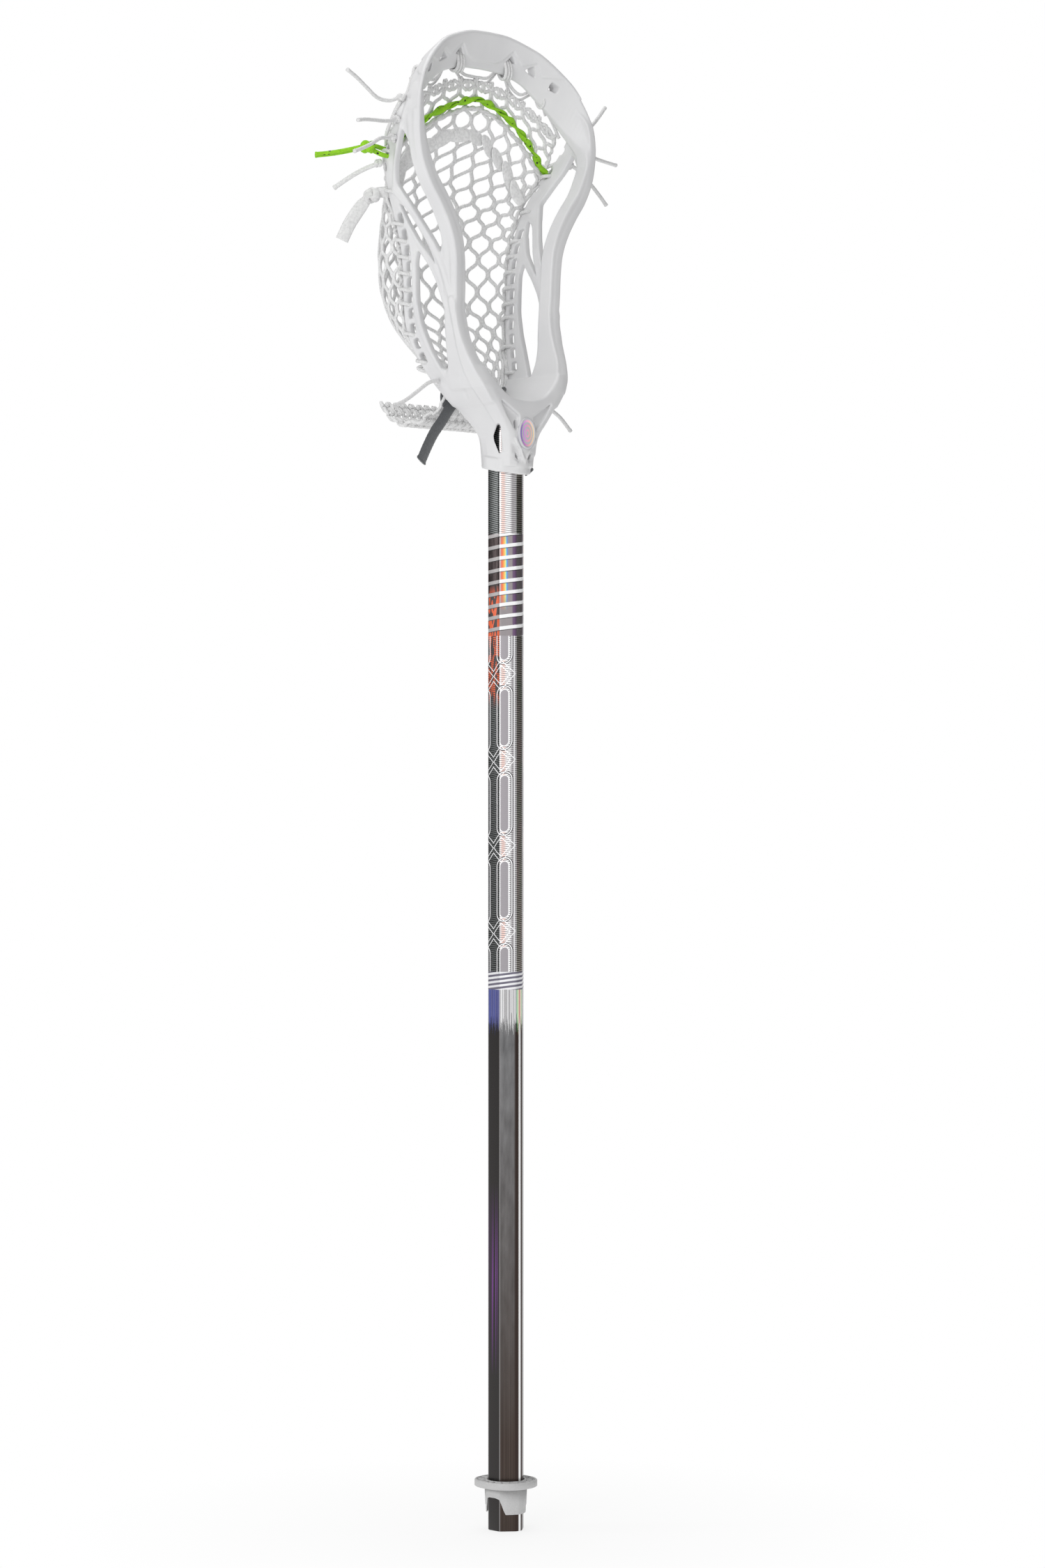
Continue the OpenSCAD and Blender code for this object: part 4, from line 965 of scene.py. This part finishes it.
def net_cord(k, rng):
    """One of the net's cords: it swings between joint columns k and k + 1."""
    u, v, lift = [], [], []
    for j in range(2 * len(JOINTS) - 1):
        column = k if (k + j) % 2 == 0 else k + 1
        inward = 1 if column == k else -1
        row = np.clip(joint_row(j) + rng.uniform(-0.035, 0.035), FIRST_ROW, LAST_ROW)
        at_u = column / CELLS - 1
        here = net(at_u, row)
        wide = np.linalg.norm(net(at_u + 0.01, row) - net(at_u - 0.01, row)) / 0.02
        tall = np.linalg.norm(net(at_u, min(row, 23.9) + 0.05) - net(at_u, min(row, 23.9) - 0.05)) / 0.1
        beside = inward * 1.15 / wide
        reach = min(2.9 / tall, 0.3)
        in_tail = np.clip((row - TAIL_ROW) / 1.5, 0, 1)
        bow = 0.9 * in_tail * (1 if column % 2 else -1)
        for step in (-1, 1):
            u.append(np.clip(at_u + beside, -1, 1))
            v.append(row + step * reach)
            lift.append(bow)
    line = curve(np.column_stack([np.array(u) * 60, np.array(v) * 9, lift]), step=0.5)
    a, b, c = line[:, 0] / 60, np.clip(line[:, 1] / 9, 0.02, 23.98), line[:, 2]
    normal = net_normal(a, b)
    path = net(a, b) + normal * c[:, None]
    run = np.r_[0, np.cumsum(np.linalg.norm(np.diff(path, axis=0), axis=1))]
    ribbing = 1 + 0.1 * np.cos(run * 2 * np.pi / 1.5)
    return strand(path, 1.35, 1.1, normal, 6, ribbing)


def yarn(name, colour, fleck=None, sheen=0.05, scale=1.0, rough=0.75, relief=0.6):
    """Woven or knitted yarn: fine crossed threads, with flecks of another colour if there are any."""
    material = shader(name, {"Roughness": rough, "Sheen Weight": sheen, "Sheen Roughness": 0.5})
    tree = material.node_tree
    main = tree.nodes["Principled BSDF"]
    place = node(tree, "TexCoord").node.outputs["Object"]
    threads = node(tree, "TexVoronoi", {"Vector": place, "Scale": 1500.0 * scale})
    fuzz = node(tree, "TexNoise", {"Vector": place, "Scale": 700.0 * scale, "Detail": 4.0})
    dark = tuple(c * 0.86 for c in colour)
    light = tuple(min(1, c * 1.06) for c in colour)
    tint = ramp(tree, fuzz, (0.3, dark), (0.65, light))
    if fleck is not None:
        spots = node(tree, "TexVoronoi", {"Vector": place, "Scale": 260.0, "Randomness": 0.9})
        mask = node(tree, "MapRange", {"Value": spots, 1: 0.24, 2: 0.19})
        mixed = node(tree, "Mix", {"Factor": mask, 6: tint, 7: (*fleck, 1)}, data_type="RGBA")
        tint = mixed.node.outputs[2]
    tree.links.new(tint, main.inputs["Base Color"])
    height = node(tree, "Math", {0: threads, 1: fuzz}, operation="ADD")
    bump = node(tree, "Bump", {"Strength": relief, "Distance": 0.0003, "Height": height})
    tree.links.new(bump, main.inputs["Normal"])
    return material


mesh_yarn = yarn("white_mesh_yarn", (0.74, 0.74, 0.74), relief=0.25)
net_random = np.random.default_rng(4)
netting = make("mesh", [net_cord(k, net_random) for k in range(2 * CELLS)], mesh_yarn,
               ["mesh_pocket", "mesh_tail"])

# ---- Strings of the head ----
# White nylon strings. The top string climbs to the scoop's holes and is wound three times
# through each one that it uses. A sidewall string on each side is wound round the string rail
# through its slots and runs along the edge of the net between two wraps.
string_yarn = yarn("white_string", (0.7, 0.7, 0.7), scale=1.4, rough=0.5, relief=0.08)
TOP_LINE = [(3, 29.5, 272), (12, 29.5, 273), (20, 29, 280), (22, 27.5, 285.5), (25, 28, 284.5),
            (29, 29, 278),
            (34, 29.8, 270), (42, 29, 265), (51, 28.5, 268), (57, 27, 271), (61, 26, 268), (66, 26, 256),
            (71, 25, 247), (76, 24, 238)]
HOLES = [(22.6, 24.6, 279.5), (58.5, 23.5, 264)]
WRAPS = [213, 188, 167, 156, 145, 134, 123, 113.5, 93, 74]


def place_all(points):
    return np.asarray(points, float) + [0, 0, HEAD_Z]


def mirrored(points):
    return np.asarray(points, float) * [-1, 1, 1]


def hole_wraps(centre, turns=3, apart=2.5, half_y=4.6, half_z=7.2):
    """Turns through a hole of the scoop and round its lower edge, side by side."""
    a = np.linspace(0, 2 * np.pi * turns, 28 * turns)
    x = centre[0] + (a / (2 * np.pi) - turns / 2) * apart
    y = centre[1] + half_y * np.cos(a) + 0.12 * (half_z * np.sin(a))
    return place_all(np.column_stack([x, y, centre[2] + half_z * np.sin(a)]))


top_right = place_all(TOP_LINE)
top_whole = np.concatenate([mirrored(top_right)[::-1], top_right])
top_shapes = [strand(curve(top_whole, step=0.9), 1.15, 1.15, sides=10)]
second = top_right + [0, 1.6, -2.2]
second = np.concatenate([mirrored(second)[::-1], second])
second[:, 2] -= 1.2 * np.abs(np.sin(second[:, 0] / 9))
top_shapes.append(strand(curve(second[2:-2], step=0.9), 1.0, 1.0, sides=10))
for hole in HOLES:
    wraps = hole_wraps(hole)
    top_shapes += [strand(wraps, 1.15, 1.15, sides=10), strand(mirrored(wraps), 1.15, 1.15, sides=10)]
make("top_string_laced", top_shapes, string_yarn, ["top_string"])


def rail_at(z):
    """Outer face and back edge of the string rail at height z."""
    x = np.interp(z, *np.array(BACK_FACE).T)
    edge = sorted((p for p in PLATE if p[0] > 7 and p[1] < 259), key=lambda p: p[1])
    y = np.interp(z, [p[1] for p in edge], [p[0] for p in edge])
    return x, y


def sidewall_line():
    """From the top knot down: along the net's edge, and round the rail's outer bar at each wrap."""
    line = [(84, 15, 244), (84, 20, 238), (84.5, 24, 231), (83.5, 29, 224)]
    for z in WRAPS:
        x, y = rail_at(z)
        back = y + 2.2
        line += [(x - 3, back + 0.6, z + 4.5), (x + 0.4, back, z + 1.6), (x + 1.3, y - 1.2, z + 0.9),
                 (x + 1.2, y - 4.4, z + 0.2), (x - 1.6, y - 6.2, z - 0.6), (x - 5, y - 5.2, z - 0.8),
                 (x - 6.4, y - 1.6, z - 1.0), (x - 4.4, back + 0.2, z - 1.8), (x - 2.4, back + 1.6, z - 3.6)]
    line += [(37, 31, 66), (36.5, 27.5, 62), (38, 25.5, 60)]
    return place_all(line)


right_line = curve(sidewall_line(), step=0.9)
for side, line in (("left", mirrored(right_line)), ("right", right_line)):
    edge_u = 0.985 if side == "right" else -0.985
    v = np.linspace(0.2, 17.6, 520)
    wobble = 1.0 * np.sin(v * 9.0)
    along = net(np.full(520, edge_u), v) + net_normal(np.full(520, edge_u), v) * wobble[:, None]
    make(f"sidewall_string_{side}_laced",
         [strand(line, 1.3, 1.3, sides=10), strand(along, 1.15, 1.15, sides=8)],
         string_yarn, [f"sidewall_string_{side}"])

# ---- Shooting strings ----
# Three laces across the upper net: a bright green one with dark flecks that is twisted on itself,
# a thin white one under it, and a wide flat white one lower down, in overlapping scallops.
GREEN = [(0, 27.5, 256.5), (17, 27.8, 252.5), (35, 29.5, 245), (52, 32.5, 234.5), (63, 35, 226),
         (71, 37, 218), (76.5, 35.5, 213.5)]
THIN = [(0, 29, 250.5), (17, 29.5, 247), (35, 31.5, 239), (52, 34.5, 228.5), (63, 37, 220), (73, 38, 211)]
WIDE = [(0, 36.5, 232.5), (15, 38, 231.5), (32, 43, 223), (46, 46, 214.5), (55, 46.5, 201), (60, 43, 193)]
green_yarn = yarn("green_lace", (0.27, 0.6, 0.008), fleck=(0.015, 0.04, 0.0), scale=0.9)
flat_yarn = yarn("white_flat_lace", (0.7, 0.7, 0.7), scale=0.8, relief=0.2)


def both_sides(points):
    right = place_all(points)
    return np.concatenate([mirrored(right)[:0:-1], right])


def woven(points, swing, pitch, phase, step=0.9):
    """A line that swings in and out of the net along its way."""
    line = curve(both_sides(points), step=step)
    run = np.r_[0, np.cumsum(np.linalg.norm(np.diff(line, axis=0), axis=1))]
    side, up = frames(line, (0, 1, 0))
    turn = (run / pitch + phase) * 2 * np.pi
    return line + side * (swing * 0.9 * np.cos(turn))[:, None] + up * (swing * np.sin(turn))[:, None]


make("shooting_lace_green_twisted",
     [strand(woven(GREEN, 1.15, 26, 0.0), 1.9, 0.85, twist=0.12),
      strand(woven(GREEN, 1.15, 26, 0.5), 1.9, 0.85, twist=0.12)],
     green_yarn, ["shooting_lace_green"])
make("shooting_cord_white_woven",
     [strand(woven(THIN, 0.7, 15, 0.0), 1.5, 0.8, (0, 1, 0)),
      strand(woven(THIN, 0.7, 15, 0.5), 1.1, 0.7, (0, 1, 0))],
     flat_yarn, ["shooting_cord_white"])


def wide_lace():
    """Scallops that each start under the last one, where the lace comes out through the net."""
    line = curve(both_sides(WIDE), step=0.8)
    run = np.r_[0, np.cumsum(np.linalg.norm(np.diff(line, axis=0), axis=1))]
    side, up = frames(line, (0, 1, 0))
    count = 10
    shapes = []
    for k in range(count):
        low, high = run[-1] * k / count - 3.2, run[-1] * (k + 1) / count + 3.2
        pick = (run >= low) & (run <= high)
        t = (run[pick] - low) / (high - low)
        t = t if k < count / 2 else 1 - t
        belly = np.sin(np.clip(t, 0.03, 0.97) * np.pi) ** 0.45
        lift = -1.5 + 2.6 * t
        slip = (t - 0.5) * 2.4
        path = line[pick] - up[pick] * lift[:, None] + side[pick] * slip[:, None]
        shapes.append(strand(path, 5.2, 0.95, (0, 1, 0), 12, belly))
    return shapes


# the same white lace as its knot and end, painted lighter (0.84 against 0.7) to make up for the shade it
# lies in: painted light
lit_wide_lace_yarn = yarn("white_wide_lace_painted_lighter", (0.84, 0.84, 0.84), scale=0.8, relief=0.2)
make("shooting_lace_wide_woven", wide_lace(), lit_wide_lace_yarn, ["shooting_lace_wide"])

# ---- Bottom lace ----
# A dark grey flat woven lace that draws the foot of the net together and ties it to the throat.
BOTTOM = [(0, 25, 46.5), (4, 26, 53), (7, 27, 57), (10, 31, 54), (12, 32, 49), (15, 28, 47), (20, 26, 52),
          (24.5, 27, 59), (27, 32, 55), (25, 33.5, 48), (20, 32, 47)]
dark_yarn = yarn("dark_flat_lace", (0.075, 0.08, 0.085), scale=0.7, sheen=0.6)
bottom_line = curve(both_sides(BOTTOM), step=0.8)
make("bottom_lace_laced", [strand(bottom_line, 3.1, 0.9, (0.1, 1, 0.25), 10)], dark_yarn,
     ["bottom_lace"])

# ---- Knots ----
# Overhand knots, drawn tight, that stop each string on the outside of the head.
LEFT_KNOTS = [(-85, 13, 246), (-85, 18, 232), (-84, 22.5, 220), (-79, 42, 206), (-38, 25.5, 60)]
RIGHT_KNOTS = [(85, 13, 245), (84.5, 17, 231), (84, 22, 220), (38, 25.5, 60)]


def knot(centre, size, cord, squeeze=(1, 1, 1), turn=0.0, thick=None):
    """An overhand knot that fits in a ball of the given size."""
    t = np.linspace(0, 2 * np.pi, 90, endpoint=False) + turn
    p = np.column_stack([np.sin(t) + 2 * np.sin(2 * t), np.cos(t) - 2 * np.cos(2 * t), -1.6 * np.sin(3 * t)])
    p = p / 3 * (size / 2 - cord) * squeeze
    c, s = math.cos(turn), math.sin(turn)
    p = p @ np.array([[c, 0, s], [0, 1, 0], [-s, 0, c]])
    p = p + place_all([centre])[0]
    t_dir = np.roll(p, -1, 0) - np.roll(p, 1, 0)
    t_dir /= np.linalg.norm(t_dir, axis=1, keepdims=True)
    out = p - p.mean(0)
    side = np.cross(t_dir, out)
    side /= np.linalg.norm(side, axis=1, keepdims=True) + 1e-9
    up = np.cross(side, t_dir)
    turns = np.linspace(0, 2 * np.pi, 8, endpoint=False)[None]
    rings = (p[:, None] + side[:, None] * (cord * np.cos(turns))[..., None]
             + up[:, None] * ((thick or cord) * np.sin(turns))[..., None])
    return skin(rings, closed=True)


for side, knots in (("left", LEFT_KNOTS), ("right", RIGHT_KNOTS)):
    make(f"knots_{side}_tied", [knot(c, 7.2, 1.35, turn=k * 1.3) for k, c in enumerate(knots)], string_yarn,
         [f"knots_{side}"])
green_neck = place_all([(-74, 36, 214), (-79, 38.5, 215.5), (-86, 37.5, 216), (-92, 38, 215)])
green_loop = place_all([(-77, 34, 210), (-82, 35, 210.5), (-87, 38, 213), (-92, 38.5, 215)])
make("green_knot_tied",
     [knot((-92, 38, 215), 11.5, 2.1, (1, 1, 1.1)), strand(curve(green_neck, step=0.8), 1.9, 1.2),
      strand(curve(green_loop, step=0.8), 1.9, 1.2)],
     green_yarn, ["green_knot"])
make("green_end_tied", [knot((81, 34, 213), 8.6, 1.8, turn=0.8)], green_yarn, ["green_end"])
WIDE_TAIL = [(-60, 43.5, 190), (-66, 48, 188), (-71, 54, 187.5), (-74, 59, 183), (-77, 64, 176.5),
             (-80, 70, 167), (-82.5, 74.5, 157)]
wide_tail = curve(place_all(WIDE_TAIL), step=0.8)
tail_run = np.linspace(0, 1, len(wide_tail))
pinch = 1 - 0.38 * np.exp(-((tail_run - 0.35) / 0.12) ** 2)
make("wide_lace_knot_tied",
     [strand(wide_tail, 4.4, 1.1, (0.5, 0.2, 0.5), 14, pinch),
      strand(wide_tail + [1.2, 1.0, 1.3], 4.2, 1.0, (0.5, 0.2, 0.5), 14, pinch),
      knot((-72, 55.5, 186.5), 16, 3.6, (1, 1, 1), 0.5, 1.7)],
     flat_yarn, ["wide_lace_knot"])
make("wide_lace_end_tied", [knot((67, 48, 187), 10, 2.4, (1, 1, 0.9), 1.1, 1.4)], flat_yarn,
     ["wide_lace_end"])

# ---- Free ends ----
# The cut ends of the strings, stiff enough to stand out from their knots. Each is melted at its
# tip so that it doesn't fray.
LINES = {
    "tail_left_top": [(-86, 14, 246), (-92, 17, 243.5), (-101, 19, 244.5), (-112, 18, 250),
                      (-122, 16.5, 255), (-132, 15, 259)],
    "tail_left_middle": [(-86, 18, 232), (-92, 16, 230), (-101, 13.5, 228.5), (-112, 10.5, 227.5),
                         (-122, 8.5, 226.5), (-130, 7, 225)],
    "tail_left_low": [(-85, 22.5, 220), (-90, 22, 219.5), (-98, 20, 218), (-107, 18, 213.5),
                      (-116, 16.5, 209.5), (-125, 16, 206)],
    "tail_left_thick": [(-79, 43, 205.5), (-82, 49, 203.5), (-86, 56, 200), (-90, 63, 195.5),
                        (-94, 70, 190.5)],
    "tail_green": [(-94, 39, 215), (-99, 43, 213.5), (-106, 48.5, 211.5), (-113, 54.5, 210),
                   (-120, 60, 209)],
    "tail_right_top": [(86, 13.5, 245), (92, 15, 244.5), (99, 16, 247.5), (107, 16, 255), (114, 16, 263)],
    "tail_right_middle": [(85.5, 17, 231), (92, 16, 228), (102, 15, 226), (113, 15, 224.5),
                          (124.5, 15.5, 223.5)],
    "tail_right_low": [(85, 21.5, 220), (90, 19, 216.5), (98, 16, 208.5), (105, 13, 200), (111, 12, 193.5)],
    "tail_throat_left": [(-39, 25, 60), (-44, 21.5, 61), (-54, 19.5, 58.5), (-64, 20, 52), (-75, 21, 45),
                         (-86, 21.5, 40.5)],
    "tail_throat_right": [(39, 25, 60), (46, 21.5, 58), (58, 20.5, 51), (73, 21, 44), (84.5, 21, 34.5)],
    "tail_dark_left": [(-17, 31, 50), (-21, 32.5, 45), (-27, 34, 36), (-34, 35, 27), (-41, 34.5, 17),
                       (-48, 33, 7)],
    "tail_dark_right": [(17, 31, 50), (21, 31, 45), (28, 30, 36), (36, 29, 26), (43, 28, 15), (50, 27, 4)]}


def free_end(name, wide, thick, material, hint=None, strands=1):
    """One cord along its line, with a swollen, melted tip."""
    path = curve(place_all(LINES[name]), step=0.8)
    length = np.linalg.norm(np.diff(path, axis=0), axis=1).sum()
    end = np.linspace(0, 1, len(path)) * length
    swell = 1 + 0.16 * np.exp(-((end - length + 0.8) / 0.7) ** 2) + 0.015 * np.sin(end * 2.1)
    side, up = frames(path, hint)
    shapes = []
    for k in range(strands):
        shift = side * ((k - (strands - 1) / 2) * wide * 1.05)
        part = wide / strands * 1.05 if strands > 1 else wide
        shapes.append(strand(path + shift, part, thick, hint, 12, swell))
    piece = make(name + "_cord", shapes, material, [name])


for name in ("left_top", "left_middle", "left_low", "right_top", "right_middle", "right_low", "throat_left",
             "throat_right"):
    free_end("tail_" + name, 1.3, 1.3, string_yarn)
free_end("tail_left_thick", 1.6, 1.6, string_yarn)
free_end("tail_green", 2.6, 1.3, green_yarn, (0, 0.4, 1), strands=2)
free_end("tail_dark_left", 4.3, 1.0, dark_yarn, (0, 1, 0))
free_end("tail_dark_right", 4.3, 1.0, dark_yarn, (0, 1, 0))
